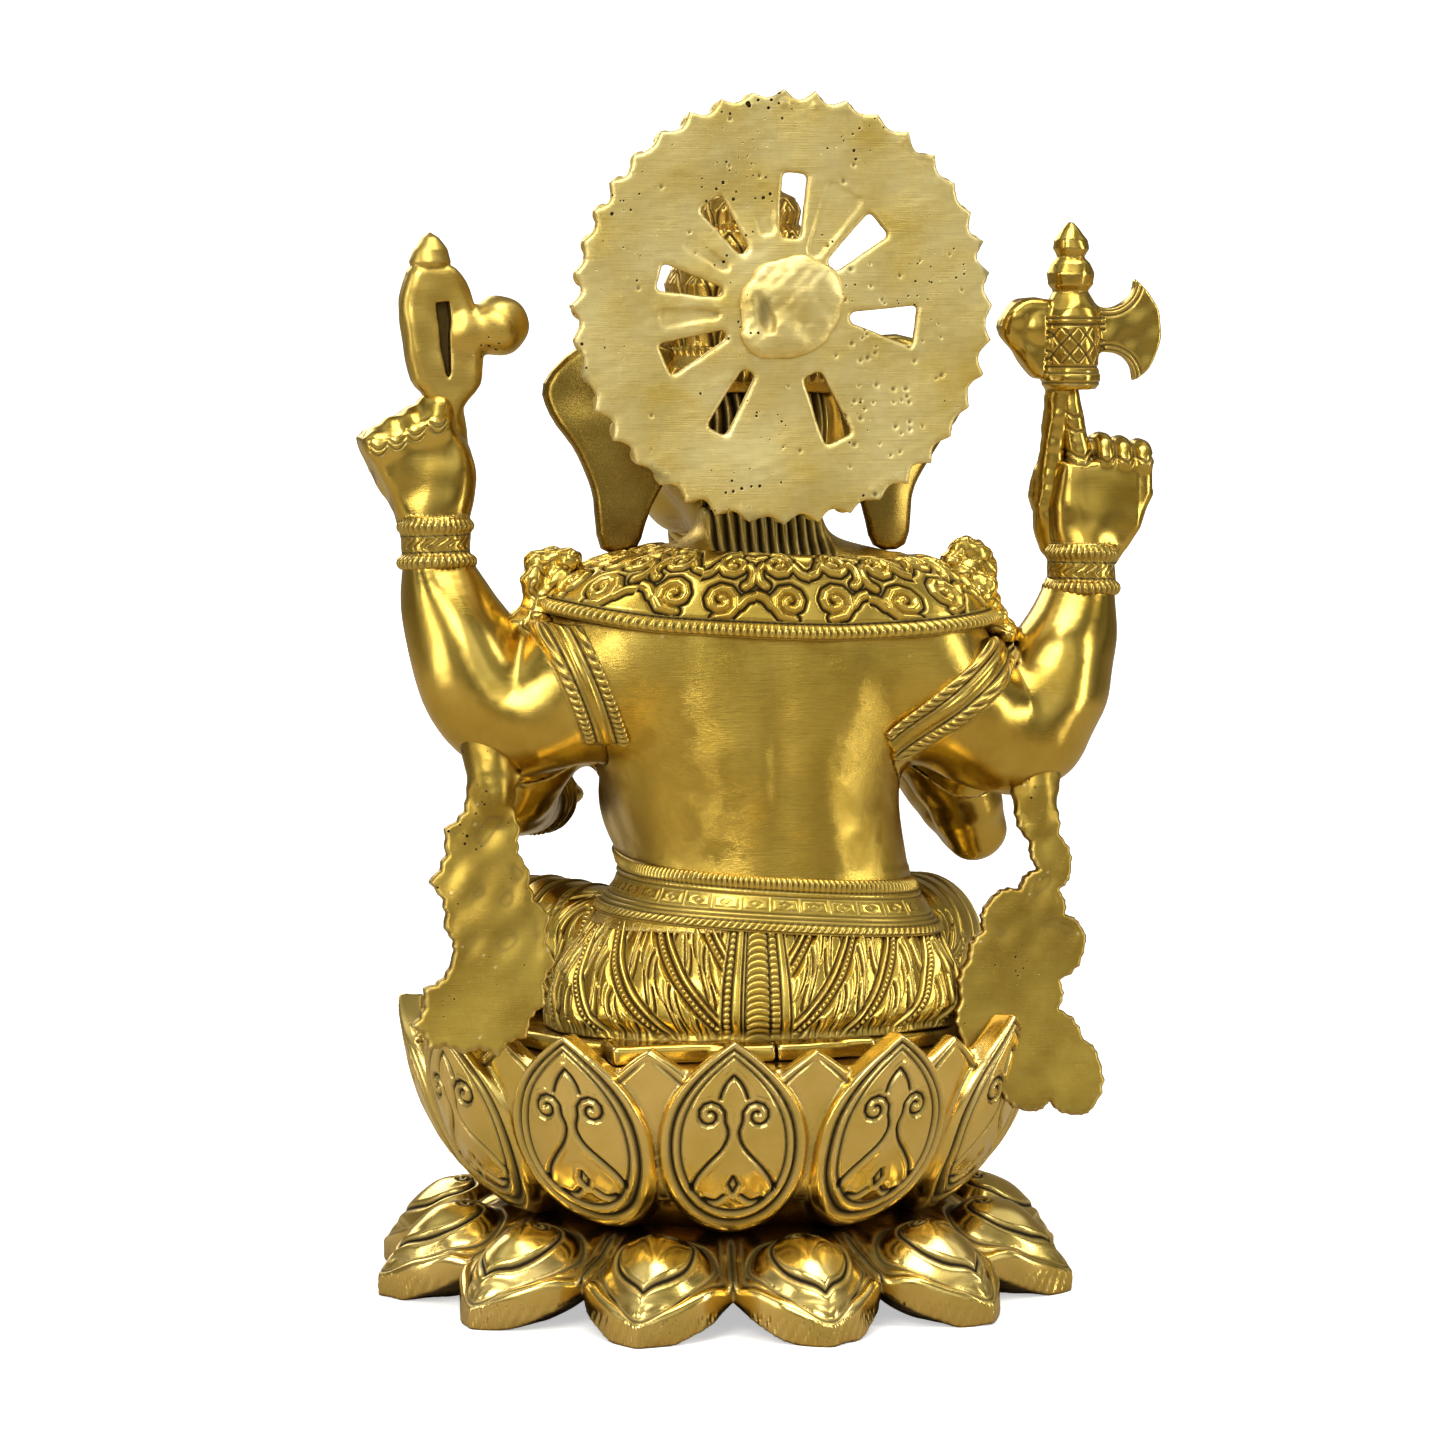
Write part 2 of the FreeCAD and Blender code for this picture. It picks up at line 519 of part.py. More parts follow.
def build():
    legs = lower_body()
    body = torso(legs)
    mantle = coped(band_round_torso(MANTLE_LOW, MANTLE_HIGH, MANTLE_T), body)
    belt = coped(band_round_torso(BELT_LOW, BELT_HIGH, BELT_T), body, legs)
    skull = coped(head(), body, mantle)
    cap = coped(crown(), skull)
    stub = coped(halo_stub(), skull, cap)
    disc = coped(halo_disc(), stub)
    trunk_side = (body, mantle, skull)
    parts = {
        "lotus_plinth": lotus_plinth(),
        "lotus_bowl": lotus_bowl(),
        "seat_slab": seat_slab(),
        "tie_bolt": tie_bolt(),
        "clamp_bar": clamp_bar(),
        "tie_washer": washer(),
        "tie_nut": hex_nut(),
        "lower_body": legs,
        "torso": body,
        "shoulder_mantle": mantle,
        "waist_belt": belt,
        "head": skull,
        "crown": cap,
        "halo_stub": stub,
        "halo_disc": disc,
    }
    parts["left_ear"] = coped(ear(1), skull, cap, stub, mantle, body)
    parts["right_ear"] = coped(ear(-1), skull, cap, stub, mantle, body)
    parts["left_tusk"] = coped(tusk(1, 9), skull)
    parts["right_tusk"] = coped(tusk(-1, 22), skull)
    for name, path, side, held in (("left", LEFT_ARM, 1, goad), ("right", RIGHT_ARM, -1, axe)):
        arm = coped(limb(path, ARM_R), body, mantle)
        hand = coped(rear_hand(path[-1], side), arm)
        parts[f"rear_{name}_arm"] = arm
        parts[f"rear_{name}_hand"] = hand
        parts[held.__name__] = coped(held(path[-1]), hand, arm)
        parts[f"{name}_scarf"] = coped(scarf(side), arm, parts["lotus_bowl"])
        boss = shoulder_boss(side)
        parts[f"{name}_shoulder_boss"] = coped(boss, arm, body, mantle, parts[f"{name}_ear"])
    parts["front_right_arm"] = coped(front_right_arm(), *trunk_side, legs, parts["rear_right_arm"])
    parts["front_left_arm"] = coped(front_left_arm(), *trunk_side, legs, parts["rear_left_arm"])
    parts["sweet_bowl"] = coped(sweet_bowl(), parts["front_left_arm"], skull)
    # The sand cores come out last, so that no coped neighbour reaches inside a hollow casting.
    parts["lower_body"] = cored_lower_body(legs)
    parts["torso"] = cored_torso(body)
    parts["head"] = cored_head(skull)
    return parts


os.makedirs(OUT, exist_ok=True)
for node, solid in build().items():
    solid.exportStep(f"{OUT}/{node}.step")
    print(node, "solids", len(solid.Solids), "valid", solid.isValid(), "volume", round(solid.Volume))
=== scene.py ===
"""Looks of the seated, four-armed, elephant-headed deity on its double lotus.

Every casting is sculpted here as a signed distance field in millimetres (negative inside), placed by the
CAD node that it stands for. The field is meshed, refined where a chisel line crosses it, then carved: the
carving moves the surface and also records how dark each line is, part dark fill and part painted shade in
the line. The figure faces -Y, so its back and the halo face +Y, and its own left is +X.
"""
import math
from functools import partial

import bpy
import numpy as np
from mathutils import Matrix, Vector


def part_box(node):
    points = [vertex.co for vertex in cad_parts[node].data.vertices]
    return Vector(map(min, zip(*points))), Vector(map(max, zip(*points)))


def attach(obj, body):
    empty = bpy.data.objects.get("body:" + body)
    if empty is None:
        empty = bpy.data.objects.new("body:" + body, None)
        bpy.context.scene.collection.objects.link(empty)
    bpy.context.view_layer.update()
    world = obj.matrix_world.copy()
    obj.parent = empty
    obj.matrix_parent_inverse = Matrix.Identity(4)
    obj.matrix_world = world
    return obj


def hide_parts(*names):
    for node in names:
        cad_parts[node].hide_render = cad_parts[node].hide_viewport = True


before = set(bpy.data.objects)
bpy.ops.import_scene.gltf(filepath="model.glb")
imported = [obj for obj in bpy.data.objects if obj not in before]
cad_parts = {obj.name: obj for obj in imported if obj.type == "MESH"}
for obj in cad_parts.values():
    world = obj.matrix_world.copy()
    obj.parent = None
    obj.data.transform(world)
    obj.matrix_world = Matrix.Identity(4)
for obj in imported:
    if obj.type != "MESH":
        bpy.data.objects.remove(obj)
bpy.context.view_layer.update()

MM = 0.001
COARSEN = 1.0     # larger cells while trying things
CHUNK = 120000                           # points worked out at a time
BUSY = 0.12                              # lift and darkness above which an edge is split
SHORTEST = 0.35                          # edges shorter than this stay whole, mm


# ---- places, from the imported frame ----
def vec(*xyz):
    return np.array(xyz[0] if len(xyz) == 1 else xyz, np.float32)


def corners(node):
    low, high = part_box(node)
    return vec(low) / MM, vec(high) / MM


def centre(node):
    low, high = corners(node)
    return (low + high) / 2


# ---- fields ----
def length(q):
    return np.sqrt(np.einsum("ij,ij->i", q, q))


def ball(middle, radius):
    c = vec(middle)
    return lambda p: length(p - c) - radius


def rotation(axis, degrees):
    """Matrix whose columns are local axes turned about x, y or z."""
    a = math.radians(degrees)
    i, j = {"x": (1, 2), "y": (2, 0), "z": (0, 1)}[axis]
    m = np.eye(3, dtype=np.float32)
    m[i, i] = m[j, j] = math.cos(a)
    m[i, j], m[j, i] = -math.sin(a), math.sin(a)
    return m


def ellipsoid(middle, radii, turn=None):
    c, r = vec(middle), vec(radii)

    def field(p):
        q = p - c if turn is None else (p - c) @ turn
        k0, k1 = length(q / r), length(q / (r * r))
        return k0 * (k0 - 1) / (k1 + 1e-6)
    return field


def block(middle, half, rounding, turn=None):
    """Box with rounded edges."""
    c, h = vec(middle), vec(half) - rounding

    def field(p):
        q = np.abs(p - c if turn is None else (p - c) @ turn) - h
        return length(np.maximum(q, 0)) + np.minimum(q.max(1), 0) - rounding
    return field


def bone(a, b, ra, rb):
    a, b = vec(a), vec(b)
    way = b - a

    def field(p):
        t = np.clip((p - a) @ way / (way @ way), 0, 1)
        return length(p - a - t[:, None] * way) - (ra + (rb - ra) * t)
    return field


def rod(a, b, radius, rounding=0.4):
    """Cylinder with flat, slightly rounded ends."""
    a, b = vec(a), vec(b)
    span = float(np.linalg.norm(b - a))
    way = (b - a) / span

    def field(p):
        along = (p - a) @ way
        side = length(p - a - along[:, None] * way) - radius + rounding
        end = np.abs(along - span / 2) - span / 2 + rounding
        return (np.hypot(np.maximum(side, 0), np.maximum(end, 0)) + np.minimum(np.maximum(side, end), 0)
                - rounding)
    return field


def ring(middle, radius, tube, way=(0, 0, 1)):
    c, n = vec(middle), vec(way) / np.linalg.norm(way)

    def field(p):
        along = (p - c) @ n
        return np.hypot(length(p - c - along[:, None] * n) - radius, along) - tube
    return field


def joined(*fields):
    return lambda p: np.minimum.reduce([f(p) for f in fields])


def soft_min(a, b, k):
    h = np.maximum(k - np.abs(a - b), 0) / k
    return np.minimum(a, b) - h * h * k / 4


def soft_max(a, b, k):
    return -soft_min(-a, -b, k)


def blended(k, *fields):
    """Union with a fillet of about k."""
    def field(p):
        total = fields[0](p)
        for f in fields[1:]:
            total = soft_min(total, f(p), k)
        return total
    return field


def carved_out(field, tool, k=0.8):
    return lambda p: soft_max(field(p), -tool(p), k)


def spline(points, per_span, closed=False):
    """Smooth curve through rows of numbers."""
    pts = np.array(points, float)
    if closed:
        pts = np.vstack([pts[-1:], pts, pts[:2]])
    else:
        pts = np.vstack([2 * pts[0] - pts[1], pts, 2 * pts[-1] - pts[-2]])
    t = (np.arange(per_span) / per_span)[:, None]
    out = [0.5 * (2 * b + (c - a) * t + (2 * a - 5 * b + 4 * c - d) * t ** 2 + (3 * b - a - 3 * c + d)
                  * t ** 3) for a, b, c, d in zip(pts, pts[1:], pts[2:], pts[3:])]
    return np.vstack(out + ([] if closed else [pts[-2:-1]]))


def limb(rows, k=1.0, per_span=4):
    """Round limb through (x, y, z, radius) rows."""
    path = spline(rows, per_span)
    return blended(k, *[bone(a[:3], b[:3], a[3], b[3]) for a, b in zip(path, path[1:])])


def graded(table, per_span=8):
    """Smooth function of one number through (number, value...) rows."""
    rows = spline(table, per_span)
    rows = rows[np.argsort(rows[:, 0])]

    def value(z):
        found = [np.interp(z, rows[:, 0], rows[:, k]) for k in range(1, rows.shape[1])]
        return found[0] if len(found) == 1 else found
    return value


def stacked(rows, power=2.0):
    """Body through level rounded sections: (z, x, y, half width, half depth)."""
    at = graded(rows)
    low, high = rows[0][0], rows[-1][0]

    def field(p):
        x, y, w, d = at(p[:, 2])
        q = (np.abs((p[:, 0] - x) / w) ** power + np.abs((p[:, 1] - y) / d) ** power) ** (1 / power)
        side = (q - 1) * np.minimum(w, d)
        return np.maximum(side, np.maximum(p[:, 2] - high, low - p[:, 2]))
    return field


def turned_profile(middle, profile):
    """Solid of revolution about the vertical through middle, from (radius, z) points."""
    outline = list(profile) + [(-r, z) for r, z in reversed(profile)]
    x0, y0 = middle[0], middle[1]
    return lambda p: outline_distance(outline, np.hypot(p[:, 0] - x0, p[:, 1] - y0), p[:, 2])


def outline_distance(outline, u, v):
    """Signed distance in a plane to a closed outline."""
    best = np.full(len(u), 1e9, np.float32)
    inside = np.zeros(len(u), bool)
    for (x0, y0), (x1, y1) in zip(outline, list(outline[1:]) + [outline[0]]):
        ex, ey = x1 - x0, y1 - y0
        t = np.clip(((u - x0) * ex + (v - y0) * ey) / (ex * ex + ey * ey + 1e-9), 0, 1)
        best = np.minimum(best, (u - x0 - t * ex) ** 2 + (v - y0 - t * ey) ** 2)
        inside ^= ((y0 > v) != (y1 > v)) & (u < x0 + (v - y0) * ex / (ey if abs(ey) > 1e-9 else 1e-9))
    return np.where(inside, -1, 1) * np.sqrt(best)


def slab(outline, mid_y, half, rounding):
    """Plate with an XZ outline. mid_y is a number or a function of x and z."""
    def field(p):
        y = mid_y(p[:, 0], p[:, 2]) if callable(mid_y) else mid_y
        side = outline_distance(outline, p[:, 0], p[:, 2]) + rounding
        face = np.abs(p[:, 1] - y) - half + rounding
        return (np.hypot(np.maximum(side, 0), np.maximum(face, 0)) + np.minimum(np.maximum(side, face), 0)
                - rounding)
    return field


def moved(points, across, up):
    """Outline shifted to its place."""
    return [(across + u, up + v) for u, v in points]


def smooth_outline(points, per_span=3):
    """Closed smooth outline through points."""
    return [tuple(q) for q in spline(points, per_span, closed=True)]


def lobed(points, bulge, per_lobe=5, ragged=0.0):
    """Closed outline with a rounded lobe between each point and the next, waved along its edge."""
    out = []
    for (x0, y0), (x1, y1) in zip(points, list(points[1:]) + [points[0]]):
        for k in range(per_lobe):
            t = k / per_lobe
            push = bulge * math.sin(math.pi * t) + ragged * math.sin(6 * math.pi * t)
            out.append((x0 + (x1 - x0) * t + (y1 - y0) * push, y0 + (y1 - y0) * t - (x1 - x0) * push))
    return out


def ripple(p, size, seed):
    """Smooth random field of about unit height with features of about size mm."""
    rng = np.random.default_rng(seed)
    total = 0
    for _ in range(WAVES):
        way = rng.normal(size=3)
        way *= 2 * math.pi * rng.uniform(0.6, 1.5) / (size * np.linalg.norm(way))
        total = total + np.sin(p @ vec(way) + np.float32(rng.uniform(0, 6.28)))
    return total / 3


def hand_made(field, height, size, seed):
    """The field with slight unevenness, as a hand-finished casting has."""
    return lambda p: field(p) - height * ripple(p, size, seed)


# ---- chisel work: functions of distance ----
def bump(x, at, width):
    return np.exp(-((x - at) / width) ** 2)


def ramp(x, width=1.0):
    """0 where x is negative, rising to 1 where it reaches width."""
    return np.clip(x / width, 0, 1)


def pair(x, at, width):
    """Two bumps, one on each side of the middle."""
    return bump(x, at, width) + bump(x, -at, width)


def stroke_distance(lines, u, v):
    """Distance to the nearest of some open lines in a plane."""
    best = np.full(len(u), 1e9, np.float32)
    for line in lines:
        for (x0, y0), (x1, y1) in zip(line, line[1:]):
            ex, ey = x1 - x0, y1 - y0
            t = np.clip(((u - x0) * ex + (v - y0) * ey) / (ex * ex + ey * ey + 1e-9), 0, 1)
            best = np.minimum(best, (u - x0 - t * ex) ** 2 + (v - y0 - t * ey) ** 2)
    return np.sqrt(best)


def lines_near(near, lines, u, v):
    """Distance to the lines where near holds, and far off elsewhere."""
    far_off = 9.0
    line = np.full(len(u), far_off, np.float32)
    line[near] = stroke_distance(lines, u[near], v[near])
    return line


def curved(*points, per_span=3):
    """Smooth open line through points."""
    return spline(points, per_span).tolist()


def spiral(x, y, radius, start, turns, inner=0.25, steps=14):
    """Volute line round (x, y), from its outside to its eye. Angles in degrees."""
    line = []
    for k in range(steps + 1):
        t = k / steps
        a = math.radians(start + 360 * turns * t)
        r = radius * (1 - (1 - inner) * t)
        line.append((x + r * math.cos(a), y + r * math.sin(a)))
    return line


def folded(u, pitch):
    """Distance along a repeat, from -pitch/2 to pitch/2, and the repeat's number."""
    number = np.round(u / pitch)
    return u - number * pitch, number


# ---- meshing ----
WAVES = 7                                # sine waves in a random field
CUBE = np.array([(i, j, k) for i in (0, 1) for j in (0, 1) for k in (0, 1)])
CUBE_EDGES = [(a, b) for a in range(8) for b in range(a + 1, 8) if np.abs(CUBE[a] - CUBE[b]).sum() == 1]
BLOCK = 6


def evaluate(field, points):
    points = np.asarray(points, np.float32)
    return np.concatenate([field(points[k:k + CHUNK])
                           for k in range(0, len(points), CHUNK)]).astype(np.float32)


def grid_values(field, low, high, step):
    """Field on a grid, worked out only in the blocks near its surface."""
    blocks = np.ceil((high - low) / step / BLOCK).astype(int)
    index = np.stack(np.meshgrid(*[np.arange(b) for b in blocks], indexing="ij"), -1).reshape(-1, 3)
    near = evaluate(field, low + (index + 0.5) * BLOCK * step)
    reach = BLOCK * step * 1.45 + 0.6
    grid = np.where(near > 0, reach, -reach).astype(np.float32).reshape(blocks)
    for axis in range(3):
        grid = np.repeat(grid, BLOCK, axis)
    grid = np.pad(grid, ((0, 1),) * 3, mode="edge")
    local = np.stack(np.meshgrid(*[np.arange(BLOCK + 1)] * 3, indexing="ij"), -1).reshape(-1, 3)
    spots = (index[np.abs(near) < reach][:, None, :] * BLOCK + local).reshape(-1, 3)
    grid[spots[:, 0], spots[:, 1], spots[:, 2]] = evaluate(field, low + spots * step)
    return grid


def surface_net(grid, low, step):
    """Quads through the cells where the grid changes sign."""
    n = np.array(grid.shape) - 1
    inside = grid < 0
    count = sum(inside[i:i + n[0], j:j + n[1], k:k + n[2]].astype(np.uint8) for i, j, k in CUBE)
    cells = np.argwhere((count > 0) & (count < 8))
    at = np.stack([grid[cells[:, 0] + i, cells[:, 1] + j, cells[:, 2] + k] for i, j, k in CUBE], 1)
    total, hits = np.zeros((len(cells), 3)), np.zeros(len(cells))
    for a, b in CUBE_EDGES:
        va, vb = at[:, a], at[:, b]
        cross = (va < 0) != (vb < 0)
        t = np.where(cross, va / np.where(cross, va - vb, 1), 0)
        total += (CUBE[a] + t[:, None] * (CUBE[b] - CUBE[a])) * cross[:, None]
        hits += cross
    verts = low + (cells + total / hits[:, None]) * step
    number = np.full(n, -1, np.int32)
    number[cells[:, 0], cells[:, 1], cells[:, 2]] = np.arange(len(cells))
    quads = []
    for axis in range(3):
        u, v = (axis + 1) % 3, (axis + 2) % 3
        first = np.take(inside, np.arange(n[axis]), axis)
        spots = np.argwhere(first != np.take(inside, np.arange(1, n[axis] + 1), axis))
        spots = spots[(spots[:, u] > 0) & (spots[:, u] < n[u]) & (spots[:, v] > 0) & (spots[:, v] < n[v])]
        corner = []
        for du, dv in ((0, 0), (1, 0), (1, 1), (0, 1)):
            c = spots.copy()
            c[:, u] -= du
            c[:, v] -= dv
            corner.append(number[c[:, 0], c[:, 1], c[:, 2]])
        quad = np.stack(corner, 1)
        outward = inside[spots[:, 0], spots[:, 1], spots[:, 2]]
        quads.append(np.where(outward[:, None], quad, quad[:, ::-1]))
    return verts, np.vstack(quads)


def to_triangles(verts, quads):
    """Each quad split along its shorter diagonal."""
    a, b, c, d = (verts[quads[:, k]] for k in range(4))
    other = length(a - c) > length(b - d)
    q = np.where(other[:, None], np.roll(quads, -1, 1), quads)
    return np.vstack([q[:, [0, 1, 2]], q[:, [0, 2, 3]]])


def edge_list(tris, count):
    """Unique edges, and for each triangle the numbers of its three edges."""
    pairs = np.sort(tris[:, [0, 1, 1, 2, 2, 0]].reshape(-1, 2), 1).astype(np.int64)
    key, back = np.unique(pairs[:, 0] * count + pairs[:, 1], return_inverse=True)
    return np.stack([key // count, key % count], 1), back.reshape(-1, 3)


def relaxed(verts, tris, strength=0.6):
    edges, _ = edge_list(tris, len(verts))
    ends = np.concatenate([edges, edges[:, ::-1]])
    degree = np.bincount(ends[:, 0], minlength=len(verts))[:, None]
    mean = np.stack([np.bincount(ends[:, 0], verts[ends[:, 1], k], len(verts)) for k in range(3)],
                    1) / degree
    return verts + strength * (mean - verts)


TETRA = np.array([(1, -1, -1), (-1, -1, 1), (-1, 1, -1), (1, 1, 1)], np.float32)


def slope(field, verts, reach):
    """Gradient of the field."""
    return sum(way * evaluate(field, verts + reach * way)[:, None] for way in TETRA) / (4 * reach)


def settled(field, verts, step):
    """Vertices moved onto the surface, and the surface's normals there."""
    grad = slope(field, verts, step * 0.3)
    size = np.maximum(length(grad), 0.2)[:, None]
    shift = -evaluate(field, verts)[:, None] * grad / size ** 2
    long = length(shift)[:, None]
    return verts + shift * np.minimum(1, 0.7 * step / np.maximum(long, 1e-6)), grad / size


def refined(verts, tris, wanted):
    """Splits the wanted edges, and the triangles beside them, leaving no cracks."""
    edges, back = edge_list(tris, len(verts))
    middle = verts[edges].mean(1)
    split = wanted(edges, middle)
    number = np.full(len(edges), -1)
    number[split] = len(verts) + np.arange(split.sum())
    verts = np.vstack([verts, middle[split]])
    m = number[back]
    code = (m >= 0) @ np.array([1, 2, 4])
    out = [tris[code == 0]]
    for k in range(3):
        a, b, c = (tris[:, (k + j) % 3] for j in range(3))
        ab, bc = m[:, k], m[:, (k + 1) % 3]
        one = code == 1 << k
        out += [np.stack(t, 1)[one] for t in ((a, ab, c), (ab, b, c))]
        two = code == (1 << k | 1 << (k + 1) % 3)
        out += [np.stack(t, 1)[two] for t in ((ab, b, bc), (a, ab, bc), (a, bc, c))]
    a, b, c, ab, bc, ca = *tris[code == 7].T, *m[code == 7].T
    out += [np.stack(t, 1) for t in ((a, ab, ca), (ab, b, bc), (ca, bc, c), (ab, bc, ca))]
    return verts, np.vstack(out)


def sculpt(node, field, step, carve=None, levels=1, margin=5.0):
    """Vertices, triangles and chisel darkness of a field meshed round its node's box."""
    step *= COARSEN
    low, high = corners(node)
    low, high = low - margin, high + margin
    verts, quads = surface_net(grid_values(field, low, high, step), low, step)
    tris = to_triangles(verts, quads)
    verts, _ = settled(field, relaxed(verts, tris), step)
    if carve:
        for _ in range(levels):
            lift, dark = carve(verts.astype(np.float32))
            busy = np.abs(lift) + dark

            def wanted(edges, middle):
                lift_m, dark_m = carve(middle.astype(np.float32))
                a, b = edges[:, 0], edges[:, 1]
                return ((busy[a] + busy[b] + np.abs(lift_m) + dark_m > BUSY)
                        & (length(verts[a] - verts[b]) > SHORTEST * COARSEN))
            verts, tris = refined(verts, tris, wanted)
    verts, normal = settled(field, verts, step)
    dark = np.zeros(len(verts), np.float32)
    if carve:
        lift, dark = carve(verts.astype(np.float32))
        verts = verts + normal * lift[:, None]
    return verts, tris, dark


def make_mesh(name, verts, tris, dark):
    """Mesh in metres, shaded smooth, with the attribute of dark fill and painted shade in the chisel lines.
    """
    mesh = bpy.data.meshes.new(name)
    mesh.vertices.add(len(verts))
    mesh.loops.add(tris.size)
    mesh.polygons.add(len(tris))
    mesh.vertices.foreach_set("co", (verts * MM).astype(np.float32).ravel())
    mesh.loops.foreach_set("vertex_index", tris.astype(np.int32).ravel())
    mesh.polygons.foreach_set("loop_start", np.arange(0, tris.size, 3, dtype=np.int32))
    mesh.polygons.foreach_set("use_smooth", np.ones(len(tris), bool))
    mesh.update(calc_edges=True)
    mesh.validate()
    # Darkness of each line, pit and crease, per vertex: part dark fill, part painted shade.
    mesh.attributes.new("dark_fill_and_shade", "FLOAT", "POINT").data.foreach_set("value",
            np.clip(dark, 0, 1).astype(np.float32))
    return mesh


def casting(node, look, field, step, carve=None, levels=1, margin=5.0):
    """One finished piece that stands for a CAD node."""
    mesh = make_mesh(node + "_casting", *sculpt(node, field, step, carve, levels, margin))
    piece = bpy.data.objects.new(node + "_casting", mesh)
    bpy.context.scene.collection.objects.link(piece)
    mesh.materials.append(look)
    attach(piece, "root")
    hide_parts(node)
    return piece


# ---- brass ----
def add(tree, kind, **values):
    """Shader node with its inputs set. A value that is a socket is linked."""
    node = tree.nodes.new("ShaderNode" + kind)
    for name, value in values.items():
        if hasattr(node, name) and not isinstance(value, bpy.types.NodeSocket):
            setattr(node, name, value)
            continue
        numbered = name[0] == "_" and name[1:].isdigit()
        socket = node.inputs[int(name[1:]) if numbered else name.replace("_", " ")]
        if isinstance(value, bpy.types.NodeSocket):
            tree.links.new(value, socket)
        else:
            socket.default_value = value
    return node


def math_node(tree, operation, a, b=0.0, clamp=False):
    return add(tree, "Math", operation=operation, _0=a, _1=b, use_clamp=clamp).outputs[0]


def mixed(tree, share, a, b):
    """Colour a changed towards colour b by share."""
    node = tree.nodes.new("ShaderNodeMix")
    node.data_type = "RGBA"
    for socket, value in zip((node.inputs[0], node.inputs[6], node.inputs[7]), (share, a, b)):
        if isinstance(value, bpy.types.NodeSocket):
            tree.links.new(value, socket)
        else:
            socket.default_value = value
    return node.outputs[2]


def spread(tree, value, low, high, to_low=0.0, to_high=1.0):
    return add(tree, "MapRange", Value=value, From_Min=low, From_Max=high, To_Min=to_low,
               To_Max=to_high).outputs[0]


GOLD = (0.82, 0.61, 0.15, 1)
PALE_GOLD = (0.88, 0.74, 0.34, 1)
DEEP_GOLD = (0.66, 0.455, 0.075, 1)
STREAK = (0.34, 0.25, 0.05, 1)
PATINA = (0.40, 0.17, 0.02, 1)
# Near-black mixed into chisel lines, pits and creases: dark fill, and painted shade in the lines and creases.
FILL_AND_SHADE_BLACK = (0.022, 0.013, 0.004, 1)
# Dark brown of the painted shade in deep recesses and between parts.
RECESS_SHADE_BROWN = (0.10, 0.055, 0.008, 1)


